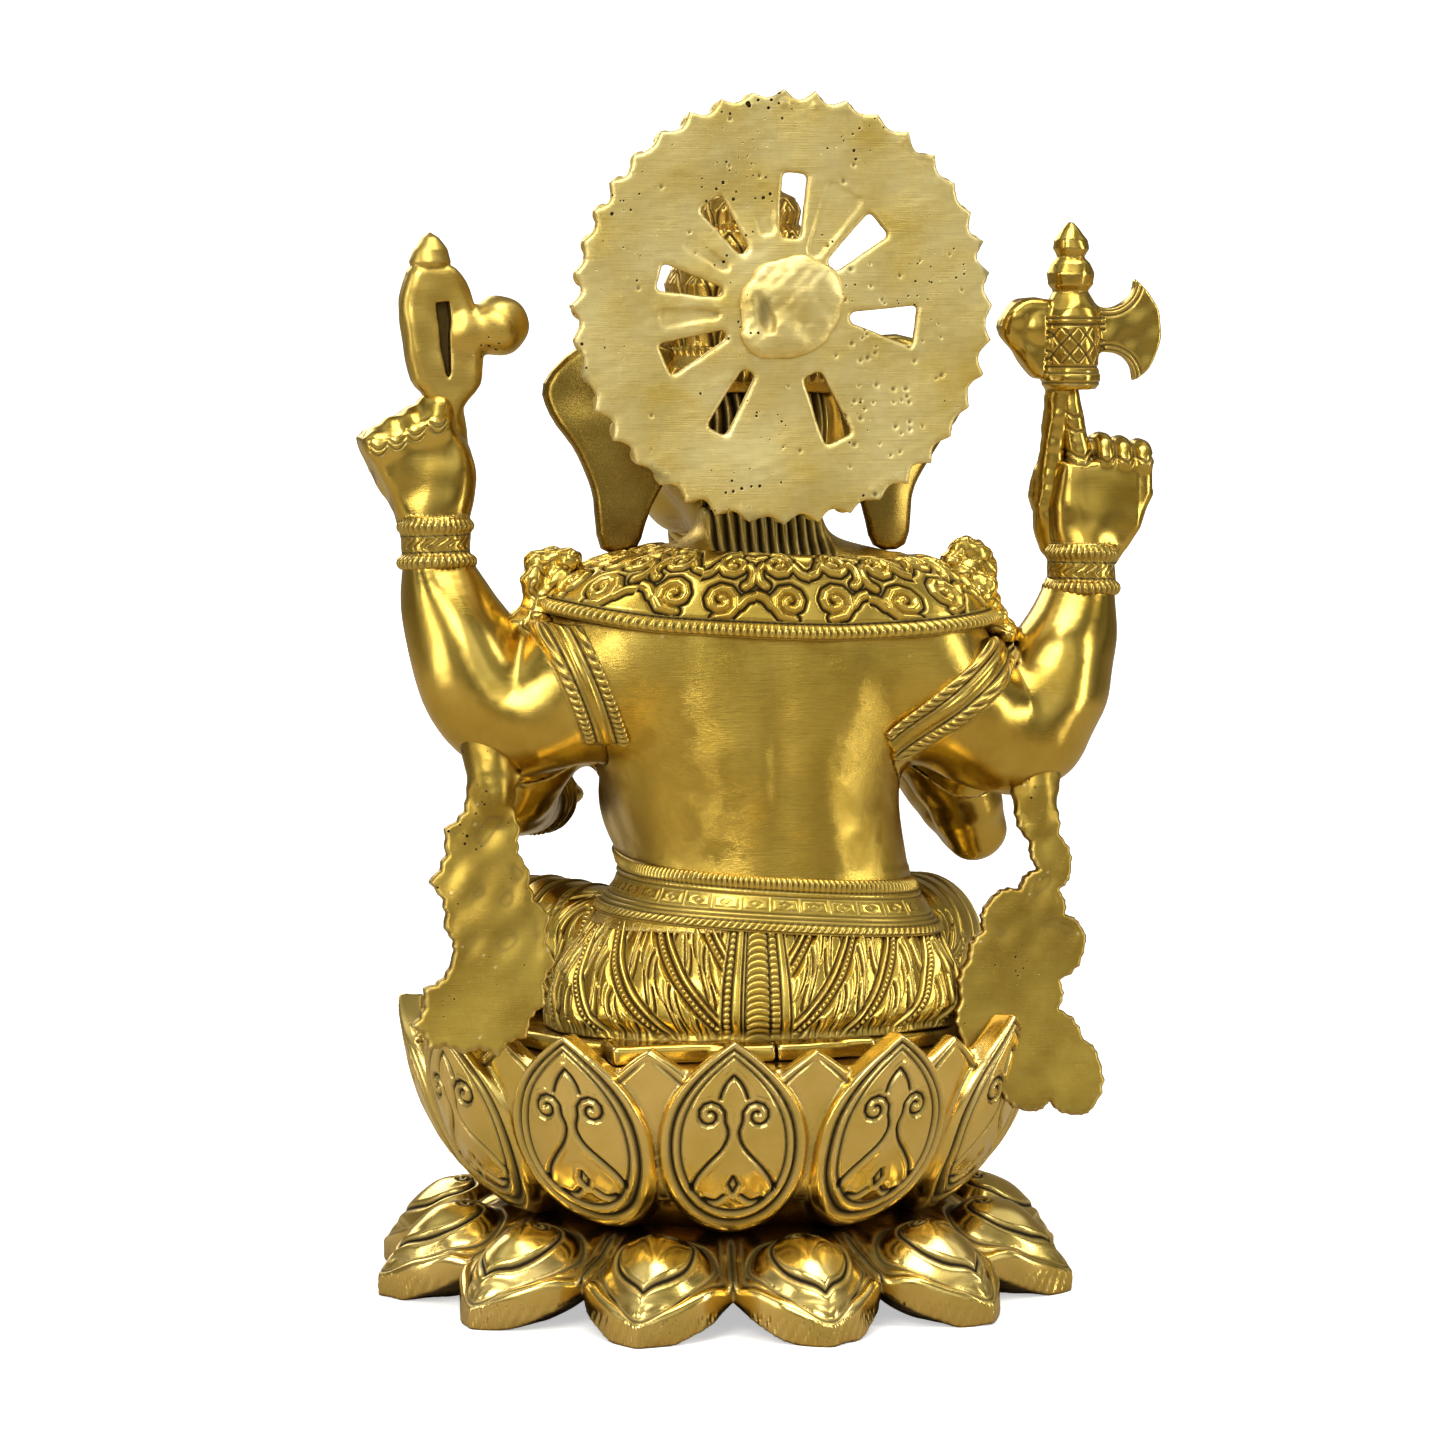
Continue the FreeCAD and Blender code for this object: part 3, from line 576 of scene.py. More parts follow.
def brass(name, main=GOLD, other=DEEP_GOLD, rough=0.2, brush=(0, 0, 0), brush_depth=0.3, pits=0.0,
          patina=0.6, grain=0.06, streak=0.12):
    """Cast brass: cloudy, brushed, grainy and pitted, brown patina in crevices; dark in chisel lines and
    creases, part dark fill and part painted shade, with painted shade in deep recesses.
    """
    material = bpy.data.materials.new(name)
    material.use_nodes = True
    tree = material.node_tree
    tree.nodes.clear()
    kinds = ("MULTIPLY", "ADD", "SUBTRACT", "MAXIMUM")
    times, plus, minus, most = (partial(math_node, tree, kind) for kind in kinds)
    noise = lambda vector, scale, detail, roughness=0.5: add(
        tree, "TexNoise", Vector=vector, Scale=scale, Detail=detail, Roughness=roughness).outputs[0]
    shelter_within = lambda reach: add(tree, "AmbientOcclusion", samples=4, Distance=reach).outputs["AO"]
    place = add(tree, "Mapping", Vector=add(tree, "TexCoord").outputs["Object"],
                Scale=(1000, 1000, 1000)).outputs[0]
    cloud = noise(place, 0.045, 4.0, 0.6)
    tone = mixed(tree, spread(tree, cloud, 0.35, 0.68), main, other)
    fine = noise(place, 1.6, 6.0, 0.65)
    tone = mixed(tree, spread(tree, fine, 0.55, 0.8, 0, 0.22), tone, PALE_GOLD)
    across = add(tree, "Mapping", Vector=place, Rotation=[math.radians(a) for a in brush],
                 Scale=(0.06, 1.6, 3.2)).outputs[0]
    lines = noise(across, 1.0, 5.0, 0.7)
    worn = noise(place, 0.09, 2.0)
    tone = mixed(tree, spread(tree, lines, 0.5, 0.68, 0.0, streak), tone, STREAK)
    lines_here = times(lines, spread(tree, worn, 0.4, 0.6, 0.35, 1.0))
    spots = add(tree, "TexVoronoi", Vector=place, Scale=0.42, Randomness=1.0).outputs["Distance"]
    where_pits = noise(place, 0.055, 2.0)
    pit_size = spread(tree, where_pits, 0.45, 0.75, 0.0, 0.34 * pits)
    pit = times(spread(tree, minus(pit_size, spots), 0.0, 0.06), min(1, pits * 2))
    # Per-vertex darkness of the chisel lines: dark fill together with painted shade in them.
    dark_fill_and_shade = add(tree, "Attribute", attribute_name="dark_fill_and_shade").outputs["Fac"]
    sharp = add(tree, "NewGeometry").outputs["Pointiness"]
    # Concave spots, found by pointiness, take painted crease shade.
    crease_shade = spread(tree, sharp, 0.495, 0.40)
    edge = spread(tree, sharp, 0.52, 0.60)
    shelter = shelter_within(0.012)
    brown = times(spread(tree, shelter, 0.62, 0.15), spread(tree, fine, 0.3, 0.6, 0.5, 1.0))
    brown = times(brown, patina, True)
    tone = mixed(tree, times(edge, 0.5), tone, (0.95, 0.78, 0.42, 1))
    tone = mixed(tree, brown, tone, PATINA)
    # Occlusion within 5 cm: painted shade in deep recesses, such as between an arm and the body.
    recess = shelter_within(0.05)
    tone = mixed(tree, spread(tree, recess, 0.52, 0.12, 0.0, 0.9), tone, RECESS_SHADE_BROWN)
    # Chisel lines, pits and painted crease shade darken the colour, raise roughness and lower metallic.
    pits_fill_and_shade = most(times(dark_fill_and_shade, 1.1), times(crease_shade, 0.75))
    pits_fill_and_shade = most(pits_fill_and_shade, pit, True)
    tone = mixed(tree, pits_fill_and_shade, tone, FILL_AND_SHADE_BLACK)
    base_rough = plus(rough, times(fine, grain))
    base_rough = plus(base_rough, times(pits_fill_and_shade, 0.35))
    base_rough = plus(base_rough, times(brown, 0.2), True)
    height = plus(times(lines_here, brush_depth),
                       times(fine, 0.35 * grain))
    height = minus(height, times(pit, 1.2))
    bumpy = add(tree, "Bump", Strength=0.5, Distance=0.00035, Height=height).outputs[0]
    metal = minus(1.0, times(pits_fill_and_shade, 0.6), True)
    shader = add(tree, "BsdfPrincipled", Base_Color=tone, Metallic=metal, Roughness=base_rough,
                 Normal=bumpy, Specular_IOR_Level=spread(tree, pits_fill_and_shade, 0.0, 1.0, 0.5, 0.12))
    tree.links.new(shader.outputs[0], add(tree, "OutputMaterial").inputs[0])
    return material


POLISHED = brass("polished_brass", main=(0.71, 0.505, 0.11, 1), other=(0.55, 0.36, 0.055, 1), rough=0.16,
                 brush=(0, 35, 20), brush_depth=0.3)
BACK = brass("hand_rubbed_brass", main=(0.74, 0.53, 0.105, 1), other=(0.51, 0.35, 0.055, 1), rough=0.19,
             brush=(0, -38, 0), brush_depth=1.5, streak=0.5)
CHASED = brass("chased_brass", main=(0.82, 0.59, 0.12, 1), other=(0.70, 0.48, 0.075, 1), rough=0.2,
               brush_depth=0.15, patina=0.85)
# Brighter copy of the gold brass: painted light on the lotus petals, whose faces would otherwise look dull
# from the dark room they reflect.
PETAL = brass("lit_lotus_brass", main=(0.98, 0.73, 0.26, 1), other=GOLD, rough=0.15, brush=(0, 90, 0),
              brush_depth=0.2, pits=0.35, patina=0.9)
BRUSHED = brass("brushed_brass", main=(1.0, 0.86, 0.405, 1), other=(0.72, 0.54, 0.14, 1), rough=0.27,
                brush=(0, 12, 0), brush_depth=1.0, pits=1.0, patina=0.3, grain=0.3, streak=0.3)
DARK_CAST = brass("unpolished_brass", main=(0.42, 0.25, 0.06, 1), other=(0.2, 0.11, 0.03, 1), rough=0.38,
                  patina=1.0, grain=0.35, pits=0.4)
STEEL = brass("plated_steel", main=(0.55, 0.55, 0.54, 1), other=(0.38, 0.37, 0.35, 1),
              rough=0.3, patina=0.3)

# ---- the lotus ----
PETALS = 12
HALF_PITCH = 180 / PETALS           # degrees from a petal to the gap beside it
LOTUS_TURN = 4.0                    # degrees that the lotus is turned under the figure
plinth_low, plinth_high = corners("lotus_plinth")
SEAT_Z = corners("seat_slab")[0][2]


def petal_frame(p, first):
    """Place on the nearest petal: outward, sideways, petal number, share of the half pitch."""
    pitch = 2 * math.pi / PETALS
    angle = np.arctan2(p[:, 1], p[:, 0]) - math.radians(90 + LOTUS_TURN + first)
    off, number = folded(angle, pitch)
    r = np.hypot(p[:, 0], p[:, 1])
    return r * np.cos(off), r * np.sin(off), (number % PETALS).astype(int), off / (pitch / 2)


bowl_face = graded([(18, 58), (25, 66.5), (31, 74), (38, 81), (44, 85.5), (50, 89), (57, 92), (65, 94.5),
                    (73, 96), (81, 97), (90, 97)])
petal_scale = 1 + 0.035 * np.random.default_rng(5).normal(size=PETALS)


def petal_width(z, number, foot, widest, tip, half):
    """Half width of an upright petal at height z: round foot, pointed tip."""
    above = 1 - np.clip((z - widest) / (tip - widest), 0, None) ** 2.25
    below = np.sqrt(np.clip(1 - (np.clip(widest - z, 0, None) / (widest - foot)) ** 2, 0, None))
    return half * petal_scale[number] * np.where(z > widest, above, below)


OUTER = dict(foot=26.0, widest=55.0, tip=86.5, half=22.2)
INNER = dict(foot=36.0, widest=58.0, tip=83.0, half=20.0)
OUTER_BELLY = 5.2                   # how far a petal's sides fall back from its middle
FLANK = 0.72                        # true distance per unit of width on a petal's slanting side


def upright_petal(p, first, shape, set_back, thick, belly):
    x, s, number, _ = petal_frame(p, first)
    z = p[:, 2]
    width = petal_width(z, number, **shape)
    face = bowl_face(z) - set_back - belly * (s / shape["half"]) ** 2
    side = np.maximum(np.abs(s) - width, shape["foot"] - z) * 0.62
    body = soft_max(x - face, face - thick - x, 0.8)
    return soft_max(body, side, 2.2)


def lotus_bowl_field(p):
    z = p[:, 2]
    r = np.hypot(p[:, 0], p[:, 1])
    core = np.maximum(np.maximum(r - bowl_face(z) + 7.5, z - SEAT_Z), OUTER["foot"] - z)
    inner = upright_petal(p, 0, INNER, 4.6, 5.5, 2.0)
    outer = upright_petal(p, HALF_PITCH, OUTER, 0.0, 8.0, OUTER_BELLY)
    rounded = soft_min(soft_min(core, inner, 1.5), outer, 0.8)
    inside = np.maximum(r - bowl_face(z) + 13, np.abs(z - 50) - 20)
    return soft_max(rounded, -inside, 1.0) - 0.22 * ripple(p, 17, 3)


def mirrored_lines(lines):
    return lines + [[(-x, y) for x, y in line] for line in lines]


VOLUTES = mirrored_lines([
    spiral(7.2, 64.6, 4.9, 200, -1.35, 0.22),
    curved((2.6, 62.9), (1.6, 59.0), (3.4, 54.5), (7.4, 50.0), (10.8, 45.6), (12.8, 41.0)),
    curved((0.1, 76.5), (2.0, 74.6), (3.4, 72.2), (4.2, 69.8)),
    [(0.1, 45.5), (1.3, 43.0), (0.1, 40.5)], curved((2.6, 39.5), (5.2, 37.6), (8.4, 38.4))])


def petal_depth(z, s, width, shape):
    """Distance in from the edge of an upright petal; its foot is round."""
    below = np.clip(shape["widest"] - z, 0, None) / (shape["widest"] - shape["foot"])
    round_foot = (1 - np.hypot(s / shape["half"], below)) * shape["half"]
    return np.where(z > shape["widest"], width - np.abs(s), round_foot)


def carve_bowl(p):
    """Double border, volutes and foot of the upright petals."""
    x, s, number, _ = petal_frame(p, HALF_PITCH)
    z = p[:, 2]
    width = petal_width(z, number, **OUTER)
    face = bowl_face(z) - OUTER_BELLY * (s / OUTER["half"]) ** 2
    on = ramp(x - face + 2.6) * ramp(face + 3 - x)
    e = petal_depth(z, s / petal_scale[number], width / petal_scale[number], OUTER) * FLANK
    lift = (0.7 * bump(e, 1.1, 0.7) - 1.0 * bump(e, 2.5, 0.55) + 0.5 * bump(e, 3.5, 0.55)
            - 0.7 * bump(e, 4.5, 0.42))
    dark = 0.95 * bump(e, 2.5, 0.6) + 0.9 * bump(e, 4.5, 0.45)
    s_work = s / petal_scale[number]
    line = lines_near((on > 0.3) & (e > 4.0), VOLUTES, s_work, z)
    lift = lift - 0.95 * bump(line, 0, 0.7) + 0.25 * bump(line, 1.5, 0.6)
    dark = dark + 1.0 * bump(line, 0, 0.68)
    xi, si, ni, _ = petal_frame(p, 0)
    ei = (petal_width(z, ni, **INNER) - np.abs(si)) * FLANK
    on_inner = (1 - on) * ramp(xi - bowl_face(z) + 8.0) * (z > 62) * (xi < bowl_face(z) - 1.5)
    groove = bump(ei, 3.0, 0.6)
    lift = lift * on + on_inner * (-0.7 * groove + 0.3 * bump(ei, 1.5, 0.7))
    return lift, np.clip(dark * on + 0.8 * groove * on_inner, 0, 1)


PLINTH_TIP_R = (plinth_high[0] - plinth_low[0]) / 2 + 0.3
PLINTH_VALLEY_R = 86.0
plinth_top = graded([(50, 27.5), (58, 27.0), (64, 25.5), (69, 23.8), (75, 21.5), (82, 18.6), (90, 15.6),
                     (98, 12.0), (106, 7.2), (110, 4.4), (114, 3.6)])


def plinth_outline(share):
    a = np.abs(share)
    return PLINTH_TIP_R - (PLINTH_TIP_R - PLINTH_VALLEY_R) * (0.68 * a + 0.32 * a ** 3)


def heart(x, s):
    """Distance-like measure inside the domed boss of a lower petal: 0 in its middle, 1 on its outline."""
    across = s / (14.6 - 0.40 * (x - 87))
    along = (x - 87.5) / 17.0
    return np.sqrt(across ** 2 + along ** 2)


def plinth_field(p):
    """Drooping petals with heart-shaped bosses and a channel between neighbours."""
    x, s, _, share = petal_frame(p, 0)
    z = p[:, 2]
    r = np.hypot(p[:, 0], p[:, 1])
    outward = ramp(r - 64, 10)
    a = np.abs(share)
    beside = (1 - a) * math.pi / PETALS * r
    boss = 9.6 * np.clip(1 - heart(x, s) ** 2, 0, None) ** 0.88
    channel = (4.2 * bump(beside, 0, 4.2) - 2.2 * bump(beside, 0, 1.1)) * outward
    top = plinth_top(r) + boss - channel
    arch = 9.5 * ramp(a - 0.3, 0.7) ** 1.4
    shape = soft_max((z - top) * 0.72, (r - plinth_outline(share)) * 0.8, 1.0)
    shape = soft_max(shape, (arch - z) * 0.9, 0.6)
    under = np.maximum((r - (84 - 0.9 * z)) * 0.7, z - 20)
    return soft_max(shape, -under, 1.0) - 0.2 * ripple(p, 15, 11)


HEART_LINES = mirrored_lines([
    spiral(2.9, 80.0, 2.3, 100, -1.1, 0.3),
    curved((2.2, 77.8), (6.0, 76.2), (9.6, 79.0), (11.0, 84.5), (9.8, 90.5), (6.2, 96.0), (0.2, 100.5))])


def carve_plinth(p):
    """Outlines of the drooping petals and a ring round each boss."""
    x, s, _, share = petal_frame(p, 0)
    r = np.hypot(p[:, 0], p[:, 1])
    beside = (1 - np.abs(share)) * math.pi / PETALS * r
    rim = (plinth_outline(share) - r) * 0.75
    e = soft_min(beside, np.where(r > 70, rim, 40.0), 2.0)
    on = ramp(p[:, 2] - plinth_top(r) + 5.0) * (p[:, 2] > 6.0) * ramp(r - 66, 3)
    ringed = bump((1 - heart(x, s)) * 15, -1.0, 0.6)
    lift = 0.35 * bump(e, 1.4, 0.9) - 0.3 * bump(e, 3.0, 0.55) - 0.5 * ringed
    dark = 0.35 * bump(e, 3.0, 0.5) + 0.8 * ringed + 0.9 * bump(beside, 0, 0.9)
    line = lines_near((on > 0.3) & (heart(x, s) < 1.5), HEART_LINES, s, x)
    lift = lift - 0.7 * bump(line, 0, 0.6) + 0.15 * bump(line, 1.3, 0.7)
    dark = dark + 1.0 * bump(line, 0, 0.62)
    filed = (p[:, 2] < 7.5) & (p[:, 2] > 0.3) & (r > 86)
    around = np.arctan2(p[:, 1], p[:, 0]) * 95
    lift = lift * on + filed * 0.12 * np.sin(around * 4.1) * np.sin(around * 1.7 + p[:, 2])
    return lift, np.clip(dark * on, 0, 1)


slab_low, slab_high = corners("seat_slab")


def seat_field(p):
    x, y, _ = p.T
    mid = (slab_low[2] + slab_high[2]) / 2
    round_part = rod((0, 0, slab_low[2]), (0, 0, slab_high[2]), 76, 1.5)(p)
    bar = block((10, slab_high[1] - 9, mid + 0.2), (39, 9, 2.8), 1.6)(p)
    saw_cut = np.maximum(np.abs(x - 1.5) - 0.45, slab_high[1] - 3 - y)
    return soft_max(np.minimum(round_part, bar), -saw_cut, 0.4) - 0.15 * ripple(p, 9, 21)


def lotus():
    casting("lotus_plinth", PETAL, plinth_field, 0.85, carve_plinth)
    casting("lotus_bowl", PETAL, lotus_bowl_field, 0.85, carve_bowl)
    casting("seat_slab", CHASED, seat_field, 0.9)

# ---- the figure's body ----
SIDE_NAME = {1: "left", -1: "right"}


torso_low, torso_high = corners("torso")
FIGURE_X = float(torso_low[0] + torso_high[0]) / 2
leg_low, _ = corners("lower_body")


def sides(make):
    """The same piece on the figure's left and right."""
    return [make(1), make(-1)]


TRUNK = stacked([(100, FIGURE_X + 1, 27, 54, 33), (114, FIGURE_X - 1, 25, 47, 34),
                 (129, FIGURE_X - 3, 22, 41.5, 36), (148, FIGURE_X, 19, 43, 39.5),
                 (168, FIGURE_X + 2, 22, 49, 37.5), (188, FIGURE_X + 1, 26, 59, 33),
                 (203, FIGURE_X, 28, 63, 29), (213, FIGURE_X, 29, 56, 26), (219, FIGURE_X, 29, 45, 23),
                 (225, FIGURE_X, 28, 23, 18), (234, FIGURE_X, 27, 17.5, 16)], 2.25)
BODY = blended(9, TRUNK, ellipsoid((FIGURE_X, -4, 146), (41, 38, 33)),
               *sides(lambda side: ellipsoid((FIGURE_X + side * 19, 3, 184), (21, 14, 13))))

REAR_ARMS = {
    1: [(40, 36, 192, 19), (54, 34, 181, 19), (69, 31, 174.5, 17.2), (78, 29, 182, 16.2),
        (83.5, 27, 194, 15), (87.6, 24.5, 206, 12.4), (90.2, 22, 216, 9.2), (90.6, 22, 223, 7.4)],
    -1: [(-48, 36, 190, 19), (-65, 33, 174, 19), (-81.5, 31, 165.5, 17.4), (-91, 29, 174, 16.8),
         (-97, 27, 186, 15.2), (-101.6, 24.5, 196, 12.6), (-104.6, 22, 205.5, 9.4), (-105.2, 22, 213, 7.4)],
}
FRONT_ARMS = {
    1: [(40, 16, 192, 16), (54, 8, 172, 14.5), (63, 0, 151, 12), (58, -20, 145, 11), (47, -44, 142, 8.5)],
    -1: [(-48, 16, 190, 16), (-64, 6, 165, 14.5), (-79, -2, 134, 9.0), (-74, -24, 146, 10.5),
         (-67, -42, 158, 8.5)],
}
REAR_LIMB = {side: limb(rows, 3.0, 3) for side, rows in REAR_ARMS.items()}
FRONT_LIMB = {side: limb(rows, 3.0, 3) for side, rows in FRONT_ARMS.items()}
SKIN = blended(10, BODY, REAR_LIMB[1], REAR_LIMB[-1], FRONT_LIMB[1], FRONT_LIMB[-1])
STRAPS = {1: ((54.5, 46, 189), (0.93, 0.0, -0.38)), -1: ((-57, 46, 177), (-0.62, 0.0, -0.78))}


def strap_place(p, side):
    """Distance along the upper arm from the middle of its strap, positive towards the elbow."""
    middle, way = STRAPS[side]
    return (p - vec(middle)) @ vec(way)


def rear_share(p, side):
    """Negative where the skin belongs to a rear arm."""
    limb_here = REAR_LIMB[side](p)
    out = (p[:, 0] - FIGURE_X) * side
    return np.maximum.reduce([-np.maximum(strap_place(p, side), out - 70), limb_here - 8.5, 34 - out])


def front_share(p, side):
    """Negative where the skin belongs to a front arm."""
    limb_here = FRONT_LIMB[side](p)
    below_shoulder = (p[:, 2] - 176) - 0.5 * (22 - p[:, 1])
    return np.maximum.reduce([limb_here - 5.5, below_shoulder, limb_here - REAR_LIMB[side](p),
                              -rear_share(p, side)])


HIPS = blended(7, stacked([(70, FIGURE_X + 2, 30, 59, 38), (80, FIGURE_X + 2, 31, 62.5, 40),
                           (90, FIGURE_X + 1, 31, 62.5, 40), (99, FIGURE_X + 1, 30, 59, 38.5),
                           (108, FIGURE_X, 28, 53, 36), (117, FIGURE_X - 1, 25, 46.5, 34),
                           (124, FIGURE_X - 2, 22, 40, 33)], 2.2),
               ellipsoid((FIGURE_X, -14, 96), (46, 44, 19)))


def arc_round(p, x0, y0, w, d):
    """Length along an ellipse from its rear middle, positive towards the figure's left."""
    t = np.linspace(-math.pi, math.pi, 181)
    pace = np.hypot(w * np.cos(t), d * np.sin(t))
    run = np.concatenate([[0], np.cumsum((pace[1:] + pace[:-1]) / 2 * np.diff(t))])
    return np.interp(np.arctan2((p[:, 0] - x0) / w, (p[:, 1] - y0) / d), t, run
                     - run[-1] / 2).astype(np.float32)


def limited(field, near, reach, k=2.0):
    """The part of a field that lies within reach of another."""
    return lambda p: soft_max(field(p), near(p) - reach, k)


def nape_hair(p):
    """Upright strands at the back of the neck: lift, and dark that is painted shade over the whole nape plus
    the cuts between strands.
    """
    x, y, z = p.T
    strand, _ = folded(x - FIGURE_X + 0.5 * np.sin(z * 0.2), 3.1)
    here = ramp(y - 24, 4) * ramp(269 - z, 2) * ramp(z - 219, 3)
    here = here * ramp(18.5 - np.abs(x - FIGURE_X), 1.5)
    cut = pair(strand, 1.55, 0.55)
    # The 0.3 over the whole nape is painted shade; the cuts between strands are darker still.
    return here * (0.5 * np.cos(strand * 2.0) - 0.9 * cut), here * np.clip(0.3 + 0.8 * cut, 0, 1)


def carve_torso(p):
    """Spine and shoulder blades behind, navel and beads in front."""
    x, y, z = p.T
    back = ramp(y - 30, 10)
    spine = -1.3 * bump(x, FIGURE_X + 1, 5) * bump(z, 160, 26) * back
    blades = 0.9 * (bump(x, FIGURE_X + 24, 13) + bump(x, FIGURE_X - 22, 13)) * bump(z, 184, 13) * back
    front = y < 0
    navel = np.hypot(x - FIGURE_X, z - 134)
    around = arc_round(p, FIGURE_X, 10, 50, 40)
    beads, _ = folded(around, 4.4)
    drop = z - (180 + 0.0085 * (x - FIGURE_X) ** 2)
    chain = np.clip(1 - (beads ** 2 + drop ** 2) / 4.8, 0, 1) ** 0.5 * front * (np.abs(x - FIGURE_X) < 40)
    thread = (x - FIGURE_X) * 0.72 + (z - 150) * 0.55
    thread_ridge = bump(thread, 0, 1.4) * front
    dip = 2.6 * bump(navel, 0, 3.4) * front
    dark = 0.9 * bump(navel, 0, 2.2) * front + 0.6 * pair(thread, 2.2, 0.6) * front
    dark = dark + 0.7 * bump(np.hypot(beads, drop), 2.3, 0.5) * front * (np.abs(drop) < 3)
    # Strands at the nape, with painted shade over the nape.
    lock_lift, nape_cuts_and_shade = nape_hair(p)
    return spine + blades - dip + 1.7 * chain + 0.9 * thread_ridge + lock_lift, dark + nape_cuts_and_shade


def torso():
    def field(p):
        others = np.minimum.reduce([share(p, side) for share in (rear_share, front_share)
                                    for side in (1, -1)])
        return np.maximum(soft_max(soft_min(SKIN(p), HIPS(p), 5), 112 - p[:, 2], 1.0), -others)
    casting("torso", BACK, hand_made(field, 0.35, 26, 31), 1.0, carve_torso, levels=1, margin=12)


MANTLE_BORDER = graded([(-95, 201), (-78, 199.5), (-50, 197.5), (-22, 196.5), (10, 198), (35, 200),
                        (66, 205.5), (85, 210)])
MANTLE_CELL = 15.5
MANTLE_LINES = [
    spiral(-1.6, 11.0, 5.0, -100, 1.5, 0.18), curved((3.4, 9.8), (5.2, 11.9), (7.75, 12.7), per_span=4),
    spiral(1.2, 22.6, 4.9, 80, 1.5, 0.18), curved((-3.7, 22.4), (-5.4, 19.4), (-7.75, 18.4), per_span=4),
    spiral(-0.6, 32.5, 4.0, -60, 1.3, 0.2), curved((3.2, 31.4), (5.3, 29.5), (7.75, 28.8), per_span=4),
    curved((4.9, 15.4), (6.5, 16.8), (7.0, 19.8), (5.8, 22.4), per_span=4),
]


def mantle_place(p):
    """Position on the mantle: along its lower border, and up from the border over the shoulder."""
    x, y, z = p.T
    along = arc_round(p, FIGURE_X, 29, 62, 27)
    inward = np.clip(1 - np.sqrt(((x - FIGURE_X) / 62) ** 2 + ((y - 29) / 27) ** 2), 0, 1)
    up = z - MANTLE_BORDER(x) + 3.0 * ramp(20 - y, 30)
    return along, up + 20 * inward * np.clip(up / 8, 0, 1)


def mantle_field(p):
    x, y, z = p.T
    skin = SKIN(p)
    border = MANTLE_BORDER(x) - 3.0 * ramp(20 - y, 30)
    lip = 0.9 * bump(z - border, 2.4, 2.2)
    shell = soft_max(skin - 2.2 - lip, -skin - 1.2, 0.5)
    bounds = np.maximum(border - z, z - 221.5 - 0.05 * (x - FIGURE_X))
    bounds = np.maximum.reduce([bounds, x - FIGURE_X - 67, FIGURE_X - x - 71])
    return soft_max(shell, bounds, 1.2)


def carve_mantle(p):
    """Milled edge and curling leaves of the shoulder mantle."""
    outside = np.clip(SKIN(p) - 1.0, 0, 1)
    u, v = mantle_place(p)
    tooth, _ = folded(u, 1.75)
    notch = pair(tooth, 0.87, 0.4)
    ridge = bump(v, 2.4, 1.6)
    lift = ridge * (0.5 - 0.8 * notch) - 0.55 * bump(v, 4.9, 0.6) - 0.4 * bump(v, 0.3, 0.5)
    dark = 0.85 * ridge * notch + 0.9 * bump(v, 4.9, 0.5) + 0.6 * bump(v, 0.2, 0.4)
    cell, number = folded(u, MANTLE_CELL)
    cell = np.where(number % 2 == 0, cell, -cell)
    line = lines_near((v > 5.4) & (v < 36), MANTLE_LINES, cell, v + 0.7 * np.sin(number * 2.4))
    lift = lift + 0.8 * bump(line, 0, 0.85) - 0.9 * bump(line, 1.65, 0.5)
    dark = dark + 1.0 * bump(line, 1.65, 0.5)
    return lift * outside, np.clip(dark * outside, 0, 1)


BELT_TILT = 0.075                   # the belt hangs lower on the figure's right
belt_mid = centre("waist_belt")
BELT_HALF = (corners("waist_belt")[1][2] - corners("waist_belt")[0][2]) / 2
BELT_CORE = blended(5, BODY, HIPS)


def belt_height(p):
    return p[:, 2] - belt_mid[2] + 1.0 - BELT_TILT * (p[:, 0] - FIGURE_X)


def belt_field(p):
    core = BELT_CORE(p)
    v = belt_height(p)
    shell = soft_max(core - 0.9 - 0.8 * bump(v, -6.0, 2.0) - 0.6 * bump(v, 6.2, 1.8), -core - 1.5, 0.5)
    return soft_max(shell, np.abs(v) - BELT_HALF, 1.2)


BELT_MOTIF = [[(-3.6, -1.5), (3.6, -1.5), (3.6, 1.7), (-3.6, 1.7), (-3.6, -1.5)],
              [(-1.4, 0.1), (0, 0.9), (1.4, 0.1), (0, -0.8), (-1.4, 0.1)]]


def carve_belt(p):
    """Roped and milled borders with a row of small motifs between."""
    outside = np.clip((BELT_CORE(p) - 0.3) * 2, 0, 1)
    u = arc_round(p, FIGURE_X, 23, 47, 36)
    v = belt_height(p)
    tooth, _ = folded(u, 1.6)
    rope, _ = folded(u + 0.7 * v, 1.9)
    notch = pair(tooth, 0.8, 0.38)
    twist = pair(rope, 0.95, 0.42)
    top, bottom = bump(v, 6.2, 1.6), bump(v, -6.2, 1.1)
    lift = -0.75 * notch * top - 0.6 * twist * bottom
    dark = 0.8 * notch * top + 0.8 * twist * bottom
    for at in (4.1, 2.6, -2.4, -3.6, -4.7, -7.6):
        lift = lift - 0.5 * bump(v, at, 0.42)
        dark = dark + 0.75 * bump(v, at, 0.4)
    cell, _ = folded(u, 8.4)
    line = stroke_distance(BELT_MOTIF, cell, v)
    worn = np.clip(0.5 + ripple(p, 30, 37), 0, 1)
    lift = lift - 0.35 * worn * bump(line, 0, 0.42)
    dark = dark + 0.6 * worn * bump(line, 0, 0.4)
    return lift * outside, np.clip(dark * outside, 0, 1)


